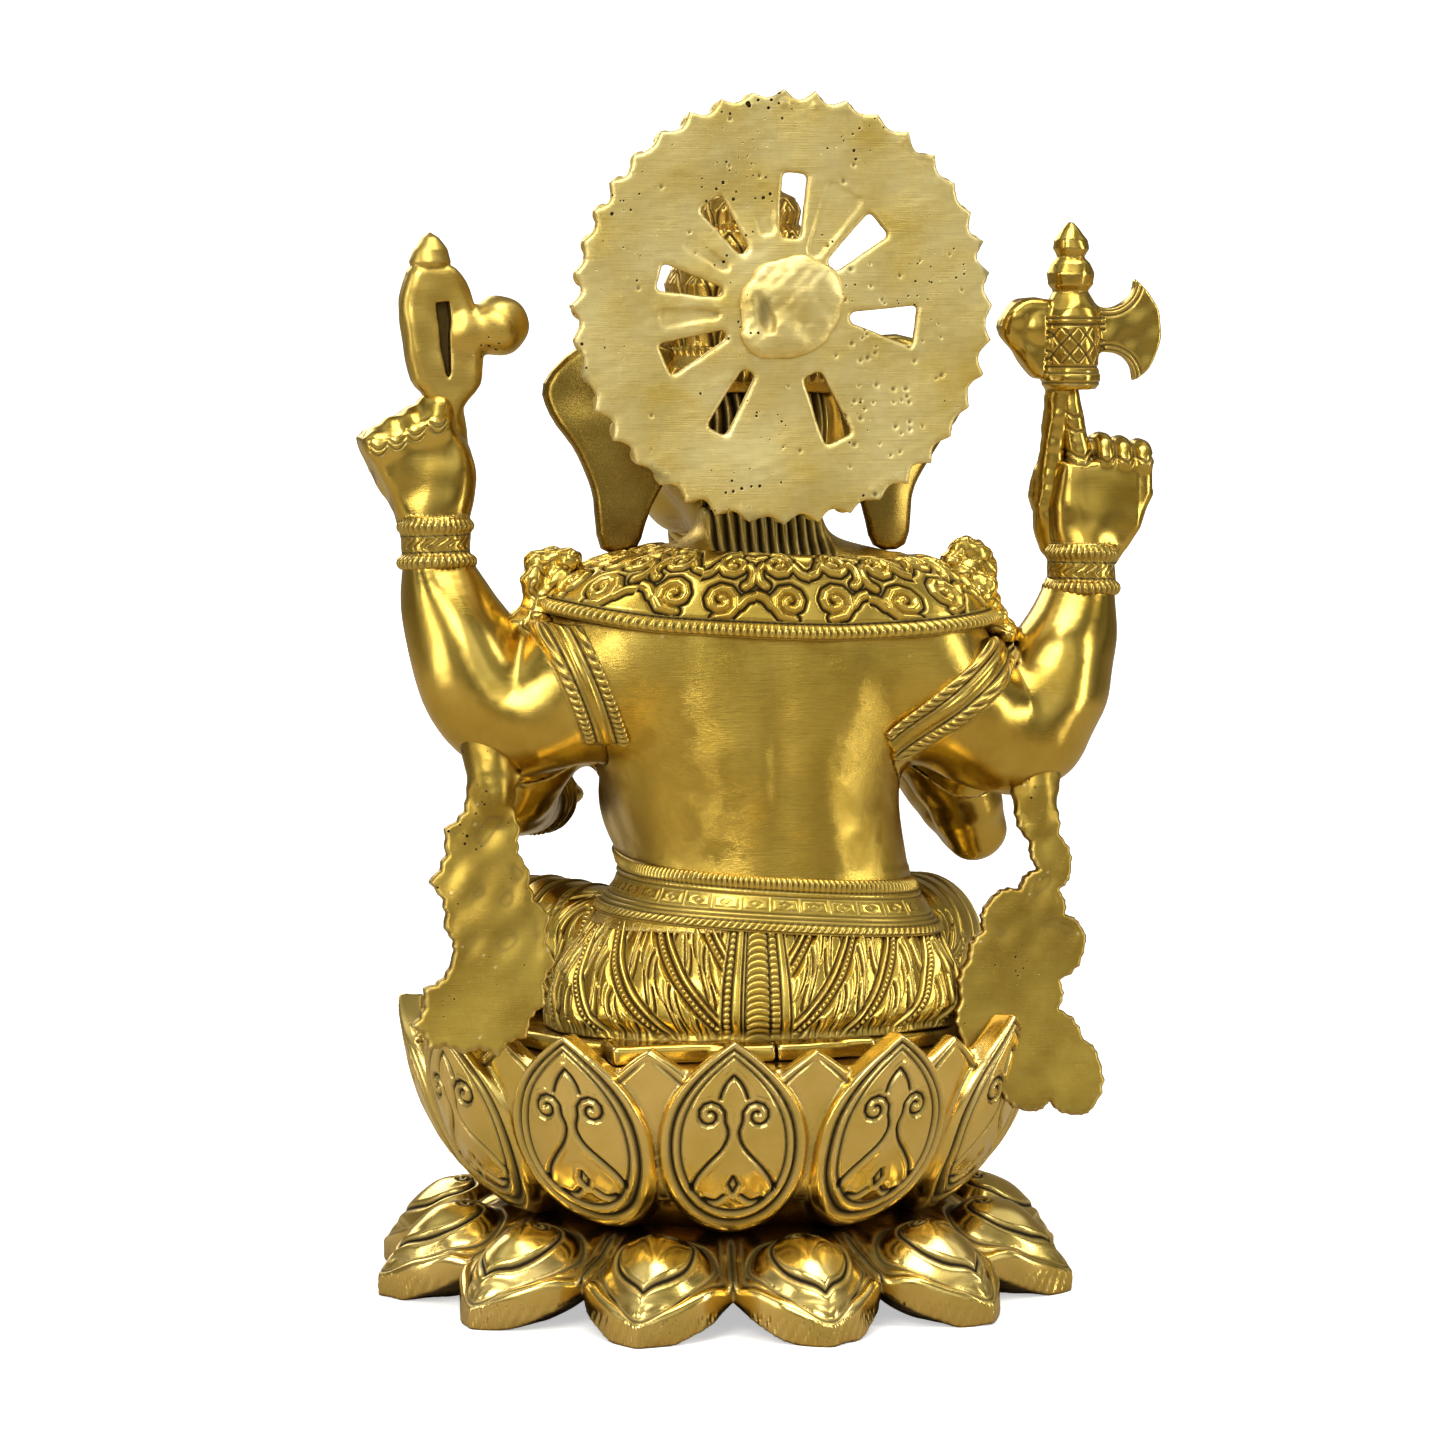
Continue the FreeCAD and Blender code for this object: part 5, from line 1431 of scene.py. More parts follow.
def head():
    """Elephant's head with brows, eyes and trunk."""
    x = FIGURE_X
    parts = [ellipsoid((x, 12, 254), (29, 31, 31)), ellipsoid((x, 21, 228), (18, 19, 18)),
             *sides(lambda s: ellipsoid((x + s * 10.5, -9, 266), (14.5, 13, 13))),
             *sides(lambda s: ellipsoid((x + s * 16, -6, 240), (13, 18, 15))),
             ellipsoid((x, -14, 229), (10, 12, 7)), limb(TRUNK_ROWS, 3.0, 4)]
    skull = blended(6, *parts)
    brows = joined(*sides(lambda s: limb([(x + s * 8, -25.5, 256.5, 1.2), (x + s * 15, -21.5, 260, 1.9),
                                          (x + s * 23, -12, 257.5, 1.2)])))
    eyes = joined(*sides(lambda s: ellipsoid((x + s * 17, -19.6, 251.5), (5.6, 3.4, 3.2),
                                             rotation("z", s * 38))))
    lids = joined(*sides(lambda s: limb([(x + s * 10.6, -24.2, 251.5, 0.8), (x + s * 16, -22.2, 255.2, 1.1),
                                         (x + s * 22.4, -15.0, 252.6, 0.8)])),
                  *sides(lambda s: limb([(x + s * 10.6, -24.2, 251.5, 0.8),
                                         (x + s * 16.5, -22.0, 248.0, 0.9),
                                         (x + s * 22.4, -15.0, 252.6, 0.8)])))
    sockets = joined(*sides(lambda s: ellipsoid((x + s * 17.5, -21, 251.6), (8.0, 4.0, 5.0),
                                                rotation("z", s * 38))))
    collar = joined(*sides(lambda s: ring((x + s * 13.5, -18.5, 233), 5.0, 1.5, (s * 0.28, -0.82, -0.5))))
    skull = joined(blended(1.2, carved_out(skull, sockets, 3.0), brows, lids), eyes, collar)
    nostrils = joined(ball((x + 33.8, -63.2, 162.6), 1.6), ball((x + 33.8, -59.5, 162.6), 1.6))
    whole = carved_out(skull, nostrils, 0.8)
    path = vec(spline(TRUNK_ROWS, 10))
    run = np.concatenate([[0], np.cumsum(length(np.diff(path[:, :3], axis=0)))])

    def carve(p):
        # Starts from the nape's strands and the painted shade over the nape.
        lift, dark = nape_hair(p)
        low_part = (p[:, 2] < 240) & (p[:, 1] < -16)
        q = p[low_part]
        if len(q):
            nearest = np.argmin(((q[:, None, :] - path[None, :, :3]) ** 2).sum(2), 1)
            ahead = path[np.minimum(nearest + 1, len(path) - 1), :3] - path[np.maximum(nearest - 1, 0), :3]
            along = (run[nearest] + ((q - path[nearest, :3]) * ahead).sum(1)
                     / np.maximum(length(ahead), 1e-6))
            wrinkle, _ = folded(along + 0.8 * np.cos(np.arctan2(q[:, 0] - path[nearest, 0], q[:, 1]
                    - path[nearest, 1])), 4.2)
            fade = ramp(along - 16, 8) * ramp(run[-1] - 2 - along, 3)
            ring_line = bump(wrinkle, 0, 0.55) * fade
            lift[low_part] -= 0.55 * ring_line
            dark[low_part] += 0.65 * ring_line
        pupil = np.minimum(length((p - vec(x + 17.4, -22.6, 251.6))),
                           length((p - vec(x - 17.4, -22.6, 251.6))))
        iris = bump(pupil, 2.4, 0.4) + bump(pupil, 0.3, 0.7)
        return lift - 0.35 * iris, np.clip(dark + 0.8 * iris, 0, 1)
    return casting("head", POLISHED_HEAD, hand_made(whole, 0.25, 16, 91), 0.9, carve, levels=1, margin=10)


EAR = [(22, 276), (38, 284), (52, 281), (61.5, 270), (60, 261), (54, 252), (50.5, 244), (48, 236),
       (46, 222), (36, 222), (32, 234), (24, 250)]


def ear(side):
    """One ear; the figure's right one spreads further."""
    name = f"{SIDE_NAME[side]}_ear"
    wider = 0.0 if side > 0 else 6.0         # the figure's right ear spreads further
    points = [(FIGURE_X + side * (dx + wider * bump(z, 262, 14) * (dx > 45)), z) for dx, z in EAR]
    outline = smooth_outline(points)

    def mid_y(u, v):
        out = np.abs(u - FIGURE_X) - 30
        return 23 - 0.010 * out * np.abs(out) + 0.6 * np.sin((v - 225) * 0.07)

    def carve(p):
        d = np.abs(p[:, 0] - FIGURE_X)
        front = p[:, 1] < mid_y(p[:, 0], p[:, 2])
        rim = outline_distance(outline, p[:, 0], p[:, 2])
        fold = bump(rim, -4.0, 0.9) * front
        vein, _ = folded(np.arctan2(p[:, 2] - 255, d - 18) * 22, 7.5)
        groove = bump(vein, 0, 0.7) * front * (rim < -6) * (d > 26)
        stud = bump(np.hypot(d - 42, p[:, 2] - 231), 3.4, 0.7) * front
        return (0.8 * bump(rim, -1.8, 1.2) * front - 0.6 * (fold + groove + stud),
                np.clip(0.6 * fold + 0.5 * groove + 0.7 * stud, 0, 1))
    return casting(name, SHADED_EAR_BRASS, hand_made(slab(outline, mid_y, 2.6, 2.0), 0.2, 18, 95), 0.8, carve,
                   levels=1, margin=16)


def tusk(side):
    """Tusk, short and blunt on the figure's left."""
    span, blunt = (10.0, 2.9) if side > 0 else (23.0, 1.1)
    start = vec(FIGURE_X + side * 13, -14, 236)
    way = vec(side * 0.28, -0.82, -0.5)
    curve = [(*(start + way * span * t + vec(0, 0, 2.2 * t * t * (span > 12))), 4.2 + (blunt - 4.2) * t)
             for t in (0, 0.35, 0.7, 1)]

    def carve(p):
        along = (p - start) @ way
        line = bump(folded(along, 3.5)[0], 0, 0.4) * (along > 4)
        return -0.15 * line, 0.35 * line
    return casting(f"{SIDE_NAME[side]}_tusk", POLISHED, limb(curve, 1.0, 3), 0.5, carve, levels=1, margin=7)


def crown():
    """Tiered crown with bead rows and upright leaves, ending in a lotus-bud finial."""
    x, y, _ = centre("crown")
    top = corners("crown")[1][2]
    profile = [(0, 268), (28.5, 268), (30.5, 271), (30.5, 275), (28.0, 278), (27.0, 281), (28.2, 288),
               (26.5, 292), (23.0, 294), (24.0, 299), (22.5, 303), (18.6, 305), (19.6, 310), (18.0, 314),
               (14.0, 316), (15.0, 320.5), (13.6, 324), (9.2, 326), (9.8, 330), (6.4, 333), (5.6, 336),
               (6.6, 339.5), (4.6, 343), (1.4, top - 0.8), (0, top - 0.5)]
    outline = turned_profile((x, y), profile)
    plume = ellipsoid((x, y - 27, 291), (9.5, 4.5, 15.5))
    gem = ellipsoid((x, y - 31.4, 288), (3.6, 2.2, 5.0))

    def carve(p):
        angle = np.arctan2(p[:, 0] - x, p[:, 1] - y)
        z = p[:, 2]
        r = np.hypot(p[:, 0] - x, p[:, 1] - y)
        lift, dark = 0 * z, 0 * z
        for low_z, high_z, count in ((281, 292, 16), (294.5, 303, 14), (305.5, 314, 12), (316, 324, 10)):
            pitch = 2 * math.pi / count
            off, _ = folded(angle, pitch)
            v = (z - low_z) / (high_z - low_z)
            wide = 0.46 * pitch * r * np.clip(1 - np.clip(v, 0, 1) ** 2.2, 0, 1)
            e = wide - np.abs(off) * r
            line = bump(e, 0.3, 0.5) * (v > 0) * (v < 1)
            vein = bump(off * r, 0, 0.4) * (v > 0.15) * (v < 0.7)
            lift = lift - 0.55 * line - 0.3 * vein + 0.3 * (e > 0.6) * (v > 0) * (v < 1)
            dark = dark + 0.8 * line + 0.5 * vein
            bead, _ = folded(angle * r, 2.6)
            row = bump(z, low_z - 1.2, 1.3)
            lift = lift + 0.5 * row * np.cos(bead * math.pi / 2.6)
            dark = dark + 0.7 * row * bump(np.abs(bead), 1.3, 0.3)
        bead, _ = folded(angle * 30, 3.4)
        band = bump(z, 273, 1.7)
        lift = lift + 0.8 * band * np.clip(1 - (bead / 1.7) ** 2, 0, 1)
        dark = dark + 0.8 * band * bump(np.abs(bead), 1.7, 0.35)
        return lift, np.clip(dark, 0, 1)
    whole = blended(1.2, lambda p: outline(p) - 0.5, plume, gem)
    return casting("crown", CROWN_BRASS, hand_made(whole, 0.15, 12, 101), 0.7, carve, levels=1, margin=8)


# ---- halo ----
halo_low, halo_high = corners("halo_disc")
HALO_X, HALO_Z = float(halo_low[0] + halo_high[0]) / 2, float(halo_low[2] + halo_high[2]) / 2
HALO_REAR = float(halo_high[1])
HALO_R = float(halo_high[2] - halo_low[2]) / 2 - 1.9
TEETH = 40
# Through slots, clockwise from the top as seen from behind: degrees, inner and outer radius, half widths.
SLOTS_THROUGH = [(5, 20, 38.5, 3.0, 3.6), (49.5, 18, 37, 2.0, 4.4), (97.5, 19.5, 39, 1.4, 6.0),
                 (156.5, 20.5, 40.8, 2.8, 4.3), (209.5, 20.5, 40, 2.2, 3.1), (247, 18.5, 37.6, 1.4, 5.0),
                 (284, 18.5, 37.4, 1.4, 4.0), (324.5, 19.5, 37, 1.7, 3.8)]
POCKETS = [(28.5, 17, 38, 1.8, 5.6), (347.5, 21.5, 35, 2.2, 2.8), (265.5, 19, 36, 1.0, 2.4),
           (304, 20, 34, 1.0, 2.0)]
PIT_RNG = np.random.default_rng(140)
PITS = [(30 + 9 * a, -14 + 14 * b, 0.35 + 0.5 * c) for a, b,
        c in zip(*PIT_RNG.normal(size=(2, 55)), PIT_RNG.uniform(size=55))]
PITS += [(46 * a, 62 * b, 0.4 + 0.6 * c) for a, b, c in PIT_RNG.uniform(-1, 1, size=(26, 3)) * (1, 1, 0.5)]


def wedge(p, degrees, inner, outer, half_in, half_out):
    """Distance-like field of a radial slot in the halo."""
    a = math.radians(degrees)
    x, z = -(p[:, 0] - HALO_X), p[:, 2] - HALO_Z
    r, s = x * math.sin(a) + z * math.cos(a), x * math.cos(a) - z * math.sin(a)
    half = half_in + (half_out - half_in) * np.clip((r - inner) / (outer - inner), 0, 1)
    return soft_max(np.abs(s) - half, np.maximum(inner - r, r - outer), 2.0)


def halo_field(p):
    """Slightly warped wheel with a toothed rim, pierced by slots."""
    x, y, z = -(p[:, 0] - HALO_X), p[:, 1], p[:, 2] - HALO_Z
    r, angle = np.hypot(x, z), np.arctan2(x, z)
    uneven = 0.5 * np.sin(3 * angle + 1) + 0.4 * np.sin(7 * angle + 2)
    tooth = 1 - 2 * np.abs(np.sin(angle * TEETH / 2 + 0.25 * np.sin(5 * angle)))
    rim = HALO_R + (1.25 + 0.35 * np.sin(11 * angle)) * tooth + 0.3 * uneven
    warp = 0.75 * ripple(p * vec(1, 0, 1), 52, 7)
    rear = y - (HALO_REAR - 0.9 + warp * 0.5 + 0.17 * ripple(p * vec(1, 0, 1), 24, 19)
                - 0.9 * bump(r, 33, 12))
    front = HALO_REAR - 4.3 - y
    beads, _ = folded(angle, 2 * math.pi / TEETH)
    bead = (np.sqrt((beads * (HALO_R - 2.5)) ** 2 + (r - HALO_R + 2.5) ** 2 + (y - HALO_REAR + 4.3) ** 2)
            - 3.2)
    disc = soft_max(np.maximum(rear, front), (r - rim) * 0.8, 1.2)
    disc = np.minimum(disc, bead)
    for slot in SLOTS_THROUGH:
        disc = soft_max(disc, -wedge(p, *slot), 1.3)
    for pocket in POCKETS:
        disc = soft_max(disc, -np.maximum(wedge(p, *pocket), HALO_REAR - 1.9 - y), 1.0)
    return disc - 0.07 * ripple(p, 14, 8) - 0.03 * ripple(p, 5, 9)


def carve_halo(p):
    """Rings, leaves and rays in front, casting pits behind."""
    x, y, z = -(p[:, 0] - HALO_X), p[:, 1], p[:, 2] - HALO_Z
    r, angle = np.hypot(x, z), np.arctan2(x, z)
    front = y < HALO_REAR - 3.2
    ray, _ = folded(angle * 46, 46 * 2 * math.pi / 48)
    rings = bump(r, 41.5, 0.6) + bump(r, 43.5, 0.6) + bump(r, 54, 0.6)
    leaf = np.abs(np.sin(angle * 12)) * 9.0
    petal = bump(r - 44.5 - leaf, 0, 0.6) * (r > 44) * (r < 54)
    ray_line = bump(ray, 0, 0.5) * (r > 20) * (r < 40)
    dark = (rings + petal + 0.6 * ray_line) * front
    rim = ramp(r - HALO_R + 6, 6)
    tooth_line = bump(folded(angle, 2 * math.pi / TEETH)[0] * r + 4.8, 0, 0.5) * rim
    behind = y > HALO_REAR - 2.5
    pit = 0 * r
    for px, pz, size in PITS:
        pit = np.maximum(pit, bump(np.hypot(x - px, z - pz), 0, size))
    crud = bump(r, HALO_R - 0.5, 2.2) * np.clip(1.6 * ripple(p, 20, 16) - 0.5, 0, 1) * behind
    lift = -0.6 * dark - 0.25 * tooth_line * behind - 0.55 * pit * behind
    return lift, np.clip(0.75 * dark + 0.35 * tooth_line * behind * (r > HALO_R) + 0.8 * pit * behind
                         + 0.6 * crud, 0, 1)


def halo_stub():
    """Tenon with a shoulder in front and a rough brazed blob behind."""
    low, high = corners("halo_stub")
    x, z = HALO_X, HALO_Z
    shank = rod((x, low[1], z), (x, high[1] - 2, z), 7.5, 1)
    blob = ellipsoid((x - 1.5, HALO_REAR - 0.2, z + 0.5), (15.5, 2.6, 14.0), rotation("y", 25))
    second = ellipsoid((x - 8, HALO_REAR + 0.1, z + 5), (8.5, 2.2, 7.5))
    third = ellipsoid((x + 4, HALO_REAR, z - 8), (8.0, 2.4, 6.0))
    pit = ellipsoid((x + 6.5, HALO_REAR + 2.6, z - 1.0), (2.2, 2.6, 6.0), rotation("y", 20))
    spread_blob = carved_out(blended(2.5, blob, second, third), pit, 1.5)
    rough = lambda p: spread_blob(p) - 0.32 * ripple(p, 11, 17) - 0.1 * ripple(p, 4, 18)

    def carve(p):
        pool = bump(length((p - vec(x + 6.5, HALO_REAR + 1.0, z - 1.0)) * vec(0.4, 0.2, 0.17)), 0, 1.0)
        return 0 * pool, 0.6 * pool
    return casting("halo_stub", BRUSHED, joined(shank, rough), 0.7, carve, levels=1, margin=8)


def halo():
    casting("halo_disc", BRUSHED, halo_field, 0.8, carve_halo, levels=1, margin=4)
    halo_stub()


# ---- scarf ends and shoulder rosettes ----
SCARVES = {
    1: [(76, 168), (83, 166), (85, 154), (92.3, 143), (97.5, 128), (93.7, 115), (92, 106), (100.3, 98.4),
        (104.5, 88), (99.6, 81), (89.5, 79.8), (79.5, 78.7), (71, 84), (65, 93), (61.5, 105), (62.5, 118),
        (68, 131), (70, 143), (69, 158)],
    -1: [(-81, 160), (-79.5, 147), (-83, 135), (-84.8, 127), (-78.3, 121.4), (-69, 118.7), (-66.5, 110),
         (-61.7, 101.8), (-58.6, 90.4), (-58.1, 79.1), (-68.4, 64.5), (-77.1, 57.9), (-83.4, 60.8),
         (-90.7, 56.5), (-97, 59.2), (-99.4, 71.9), (-95.3, 77.8), (-88.2, 86.6), (-89.2, 95),
         (-97.2, 104.5), (-96.8, 110), (-91.6, 113.8), (-90.6, 121), (-94.7, 127), (-91.7, 137),
         (-88.7, 147), (-91, 160)],
}


def scarf(side):
    """Flat scarf end with a lobed edge, hanging from the elbow; its rear is brushed, its front chased."""
    name = f"{SIDE_NAME[side]}_scarf"
    points = SCARVES[side]
    outline = lobed(points[::side], 0.16, 7, 0.035)
    top_y, lean = 42.0, math.tan(math.radians(14))

    def mid_y(u, v):
        q = np.stack([u, 0 * u, v], 1)
        return (top_y - 2 + (155 - v) * lean * np.clip((168 - v) / 20, 0.4, 1)
                + 0.7 * ripple(q, 44, 111 + side))
    dent = ball((86, 62, 113), 7.0) if side > 0 else ball((-78, 70, 84), 8.0)
    sheet = carved_out(slab(outline, mid_y, 2.0, 1.0), dent, 2.5)
    stem = limb([(78.5, 34, 170, 8), (78, 40, 158, 6.4), (77, 42, 148, 4.0)]) if side > 0 else \
        limb([(-86, 34, 162, 8), (-86, 40, 150, 6.4), (-86, 42, 140, 4.0)])

    def field(p):
        return soft_min(sheet(p), soft_max(stem(p), -REAR_LIMB[side](p) - 2, 1), 3)

    def carve(p):
        rim = outline_distance(outline, p[:, 0], p[:, 2])
        front = p[:, 1] < mid_y(p[:, 0], p[:, 2])
        edge = bump(rim, -3.0, 0.6) * front
        fold, _ = folded(p[:, 0] * 0.9 + p[:, 2] * 0.25 + 1.2 * np.sin(p[:, 2] * 0.2), 5.0)
        pleats = bump(fold, 0, 0.6) * front * (rim < -4)
        petals = ripple(p, 10, 117) * np.clip((p[:, 2] - 98) / 14, 0.15, 1) * (1
                - front) * np.clip(-rim / 3, 0, 1)
        return (0.26 * petals - 0.5 * (edge + pleats),
                np.clip(0.6 * edge + 0.6 * pleats + 0.35 * bump(petals, -0.9, 0.3), 0, 1))
    return casting(name, SHADED_SCARF_BRASS, hand_made(field, 0.08, 13, 113 + side), 0.7, carve,
                   levels=1, margin=14)


def shoulder_boss(side):
    """Rough rosette of leaf lumps where the arms meet the shoulder."""
    name = f"{SIDE_NAME[side]}_shoulder_boss"
    x, y, z = centre(name)
    rng = np.random.default_rng(120 + side)
    lumps = [ellipsoid((x, y, z), (8, 7, 7))]
    for k in range(9):
        a = 2 * math.pi * k / 9
        spot = (x + 7.0 * math.cos(a) + side * 1.5, y + rng.uniform(-1, 4), z + 7.5 * math.sin(a))
        lumps.append(ellipsoid(spot, tuple(rng.uniform(3.0, 5.0, 3)), rotation("y", math.degrees(-a))))
    for k in range(5):
        spot = (x + side * (3.5 + 3.3 * k), y + 2 - k, z - 5 - 4.0 * k)
        lumps.append(ellipsoid(spot, tuple(rng.uniform(4.4, 6.6, 3))))

    def carve(p):
        vein = bump(ripple(p, 7, 123), 0.0, 0.12)
        return -0.5 * vein, 0.7 * vein
    whole = blended(1.2, *lumps)
    rough = lambda p: whole(p) - 0.35 * ripple(p, 5, 125 + side)
    return casting(name, CHASED, rough, 0.65, carve, levels=1, margin=10)


# ---- fasteners inside the lotus ----
def fasteners():
    """Threaded tie bolt, clamp bar, washer and nut."""
    low, high = corners("tie_bolt")
    x, y = (low[0] + high[0]) / 2, (low[1] + high[1]) / 2
    radius = (high[0] - low[0]) / 2
    shank = rod((x, y, low[2]), (x, y, high[2]), radius, 0.6)

    def thread(p):
        turn = np.arctan2(p[:, 1] - y, p[:, 0] - x) / (2 * math.pi)
        return shank(p) + 0.45 * np.abs(folded(p[:, 2] / 1.25 - turn, 1.0)[0]) * 2
    casting("tie_bolt", STEEL, thread, 0.5, None, levels=1, margin=3)
    low, high = corners("clamp_bar")
    hole = rod((x, y, low[2] - 5), (x, y, high[2] + 5), radius + 0.5)
    bar = block((low + high) / 2, (high - low) / 2, 1.0)
    casting("clamp_bar", DARK_CAST, carved_out(hand_made(bar, 0.15, 9, 131), hole, 0.4), 0.8, None,
            levels=1, margin=3)
    low, high = corners("tie_washer")
    disc = rod((x, y, low[2]), (x, y, high[2]), (high[0] - low[0]) / 2, 0.3)
    casting("tie_washer", STEEL, carved_out(disc, hole, 0.3), 0.4, None, levels=1, margin=3)
    low, high = corners("tie_nut")
    flat = (high[1] - low[1]) / 2

    def hexagon(p):
        q = p - (low + high) / 2
        sides_out = (np.maximum.reduce([np.abs(q[:, 0] * math.sin(a) + q[:, 1] * math.cos(a))
                                        for a in (0, math.pi / 3, -math.pi / 3)]) - flat)
        chamfer = np.hypot(q[:, 0], q[:, 1]) + np.abs(q[:, 2]) - flat * 1.55 - 1.2
        return soft_max(soft_max(sides_out, np.abs(q[:, 2]) - (high[2] - low[2]) / 2, 0.4), chamfer, 0.4)
    casting("tie_nut", STEEL, carved_out(hexagon, hole, 0.4), 0.45, None, levels=1, margin=3)


BRUSHED_WARM = brass("brushed_warm_brass", main=(0.76, 0.55, 0.14, 1), other=(0.62, 0.42, 0.08, 1),
                     rough=0.24, brush=(0, -30, 0), brush_depth=0.6, pits=0.7, patina=0.7,
                     grain=0.15, streak=0.35)
# Darker copy of the brass: painted shade for the hanging scarf ends; their brushing, pits and patina are the
# brass's own.
SHADED_SCARF_BRASS = brass("shaded_scarf_brass", main=(0.51, 0.355, 0.065, 1), other=(0.33, 0.21, 0.032, 1), rough=0.26,
                    brush=(0, -60, 0), brush_depth=0.6, pits=0.9, patina=0.9, grain=0.2, streak=0.4)
# Darker, browner copy of the brass: painted shade for the ears, which sit in shadow between the head and the
# halo.
SHADED_EAR_BRASS = brass("shaded_ear_brass", main=(0.46, 0.32, 0.065, 1), other=(0.24, 0.155, 0.03, 1), rough=0.24,
                  patina=1.0, brush_depth=0.3)
POLISHED_HEAD = brass("head_brass", main=(0.55, 0.39, 0.09, 1), rough=0.2, brush=(0, 60, 20),
                      brush_depth=0.25, patina=1.0)
CROWN_BRASS = brass("crown_brass", main=(0.70, 0.43, 0.09, 1), rough=0.22, brush_depth=0.2, patina=1.0)


# ---- stage ----
def emitter(name, place, size, watts, colour):
    """Soft rectangular lamp that looks at the statue's middle."""
    lamp = bpy.data.lights.new(name, "AREA")
    lamp.shape, lamp.size, lamp.size_y, lamp.energy, lamp.color = "RECTANGLE", size[0], size[1], watts, colour
    lit = bpy.data.objects.new(name, lamp)
    lit.location = place
    lit.rotation_euler = (MIDDLE - Vector(place)).to_track_quat("-Z", "Y").to_euler()
    bpy.context.scene.collection.objects.link(lit)


def sweep():
    """Pale floor that curves up into a backdrop far in front of the figure."""
    rows = [(40.0, 0.0), (-1.6, 0.0)]
    rows += [(-1.6 - 1.2 * math.sin(a), 1.2 - 1.2 * math.cos(a)) for a in np.radians(np.arange(6, 91, 6))]
    rows += [(-2.8, 5.0)]
    points = [(x, y, z) for x in (-40.0, 40.0) for y, z in rows]
    faces = [(i, i + 1, len(rows) + i + 1, len(rows) + i) for i in range(len(rows) - 1)]
    mesh = bpy.data.meshes.new("floor")
    mesh.from_pydata(points, [], faces)
    mesh.polygons.foreach_set("use_smooth", [True] * len(faces))
    floor = bpy.data.objects.new("floor", mesh)
    bpy.context.scene.collection.objects.link(floor)
    pale = bpy.data.materials.new("pale_floor")
    pale.use_nodes = True
    tree = pale.node_tree
    shader = tree.nodes["Principled BSDF"]
    rays = add(tree, "LightPath").outputs
    tree.links.new(mixed(tree, rays["Is Glossy Ray"], (0.93, 0.925, 0.915, 1), (0.42, 0.365, 0.275, 1)),
                   shader.inputs["Base Color"])
    shader.inputs["Roughness"].default_value = 0.9
    shader.inputs["Specular IOR Level"].default_value = 0.1
    shader.inputs["Emission Color"].default_value = (1, 1, 1, 1)
    away = add(tree, "VectorMath", operation="LENGTH",
               _0=add(tree, "NewGeometry").outputs["Position"]).outputs["Value"]
    glow = math_node(tree, "MULTIPLY", rays["Is Camera Ray"], spread(tree, away, 0.6, 2.0, 0.5, 1.0))
    tree.links.new(glow, shader.inputs["Emission Strength"])
    mesh.materials.append(pale)


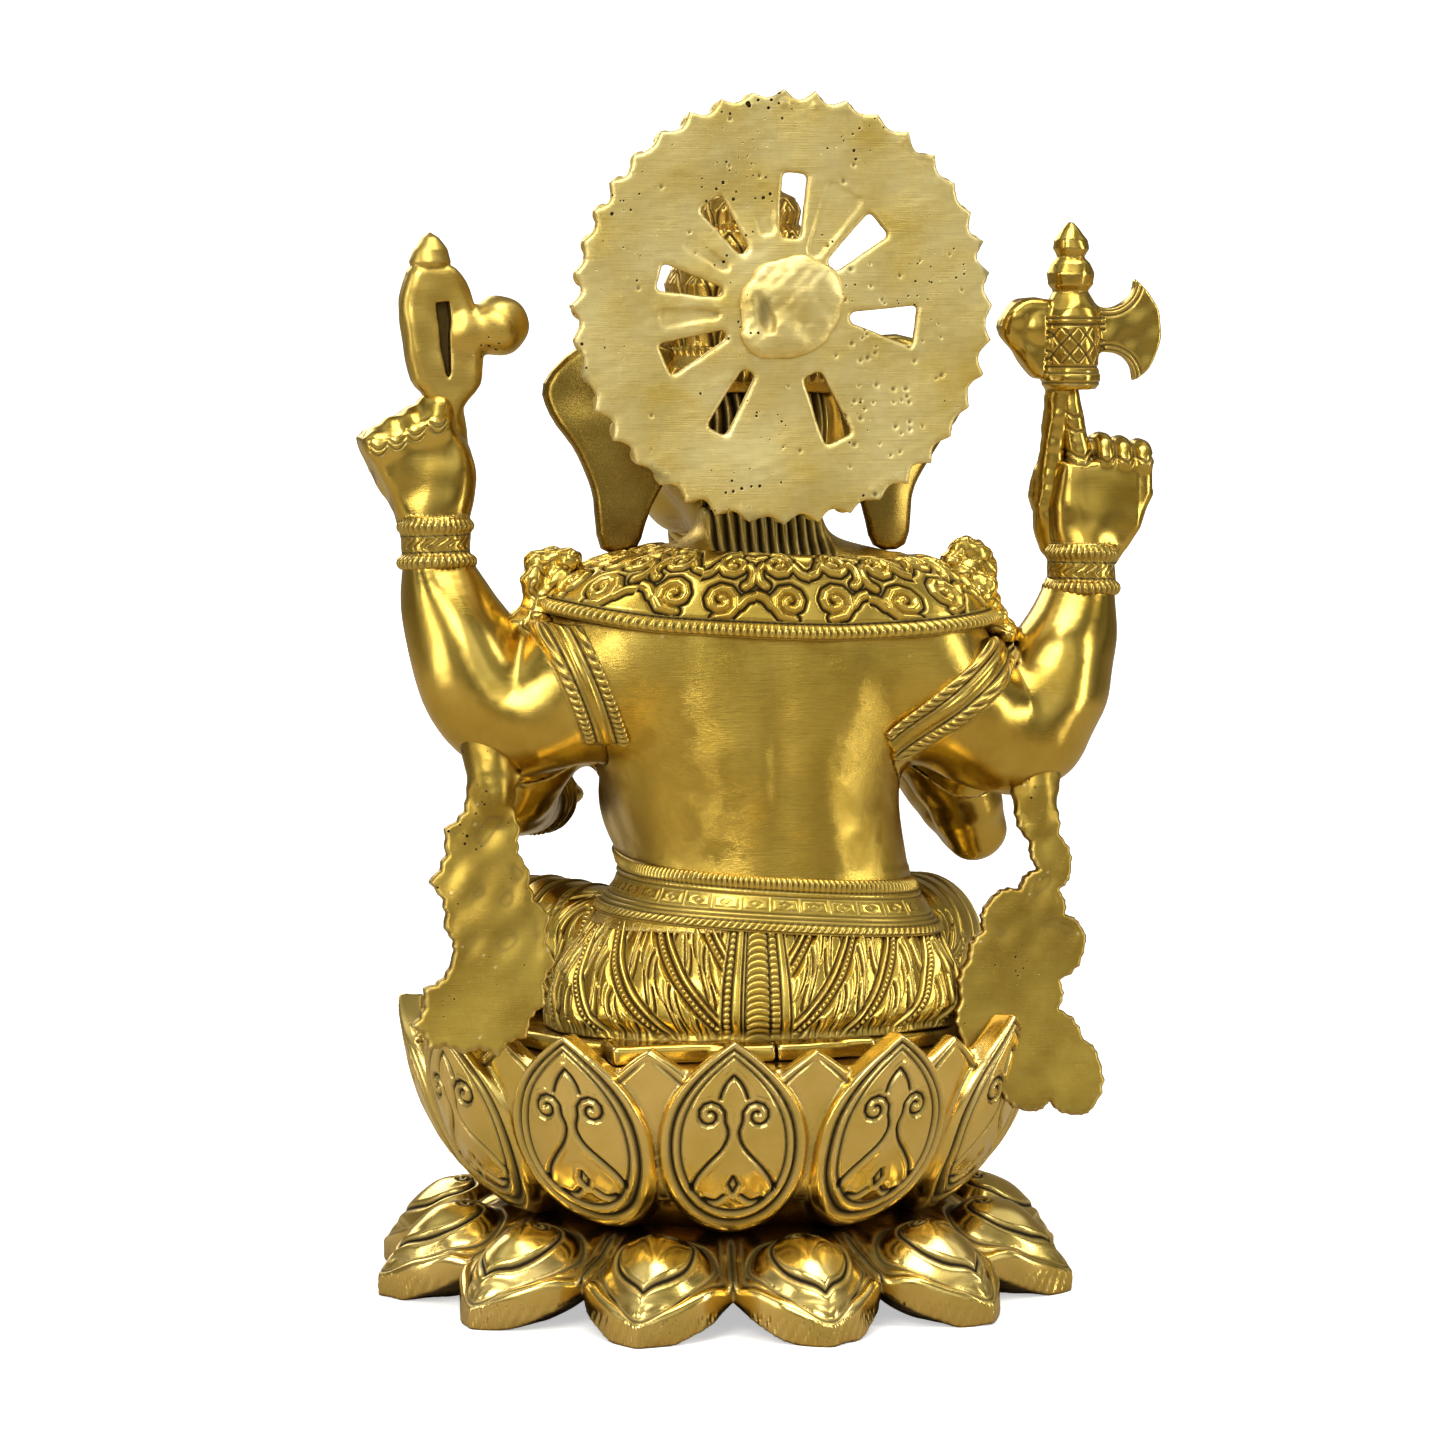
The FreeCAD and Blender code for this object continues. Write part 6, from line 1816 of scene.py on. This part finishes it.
def studio():
    """Sweep, lamps, and a graded room for the brass to reflect: paler behind the camera, darker beyond."""
    sweep()
    world = bpy.data.worlds.new("studio")
    bpy.context.scene.world = world
    world.use_nodes = True
    tree = world.node_tree
    tree.nodes.clear()
    way = add(tree, "SeparateXYZ", Vector=add(tree, "TexCoord").outputs["Generated"]).outputs
    cloud = add(tree, "TexNoise", Vector=add(tree, "TexCoord").outputs["Generated"], Scale=1.5, Detail=2.0,
                Roughness=0.45).outputs[0]
    level = math_node(tree, "ADD", spread(tree, way[2], -0.5, 1.0, 0.0, 0.5),
                      spread(tree, cloud, 0.36, 0.64, 0.0, 0.5))
    ramp = add(tree, "ValToRGB", Fac=level)
    ramp.color_ramp.elements[0].color = (0.015, 0.012, 0.007, 1)
    ramp.color_ramp.elements[1].color = (1.0, 1.0, 1.0, 1)
    for at, tone in ((0.3, (0.05, 0.043, 0.023, 1)), (0.55, (0.32, 0.31, 0.25, 1))):
        ramp.color_ramp.elements.new(at).color = tone
    room = add(tree, "Background", Color=ramp.outputs[0],
               Strength=spread(tree, way[1], -1.0, 1.0, 0.7, 1.35))
    seen = add(tree, "Background", Color=(1, 1, 1, 1), Strength=1.0)
    which = add(tree, "MixShader", _0=add(tree, "LightPath").outputs["Is Camera Ray"], _1=room.outputs[0],
                _2=seen.outputs[0])
    tree.links.new(which.outputs[0], add(tree, "OutputWorld").inputs[0])
    for lamp in LAMPS:
        emitter(*lamp)


# Name, place, width and height in metres, watts, colour.
LAMPS = (
    ("key_softbox", (0.7, 1.2, 1.05), (0.8, 0.7), 10.5, (1.0, 0.985, 0.95)),
    ("side_softbox", (-1.2, 0.75, 0.45), (0.22, 1.2), 5.5, (1.0, 0.985, 0.95)),
    ("left_softbox", (1.3, 0.45, 0.35), (0.2, 1.1), 3.3, (1.0, 0.985, 0.95)),
    ("top_softbox", (-0.1, 0.3, 1.4), (1.0, 0.6), 9.0, (1.0, 0.99, 0.97)),
    ("front_softbox", (0.4, -1.2, 0.9), (0.9, 0.7), 6.0, (1.0, 0.98, 0.95)),
)
MIDDLE = Vector((0, 0, 0.168))
CAMERA_TURN = math.radians(13)      # towards the figure's left of straight behind
CAMERA_RISE = math.radians(5.3)
CAMERA_AWAY = 1.5
CAMERA_LENS = 124.6


def camera():
    """Camera behind the statue, a little to the figure's left and above its middle."""
    way = Vector((math.sin(CAMERA_TURN) * math.cos(CAMERA_RISE),
                  math.cos(CAMERA_TURN) * math.cos(CAMERA_RISE), math.sin(CAMERA_RISE)))
    lens = bpy.data.cameras.new("camera")
    lens.lens, lens.sensor_width = CAMERA_LENS, 36
    eye = bpy.data.objects.new("camera", lens)
    eye.location = MIDDLE + way * CAMERA_AWAY
    eye.rotation_euler = (-way).to_track_quat("-Z", "Y").to_euler()
    bpy.context.scene.collection.objects.link(eye)
    bpy.context.scene.camera = eye


camera()
studio()
bpy.context.scene.view_settings.view_transform = "Standard"
lotus()
body()
for side in (1, -1):
    rear_arm(side)
    front_arm(side)
    ear(side)
    tusk(side)
    scarf(side)
    shoulder_boss(side)
rear_left_hand()
rear_right_hand()
goad()
axe()
sweet_bowl()
head()
crown()
halo()
fasteners()
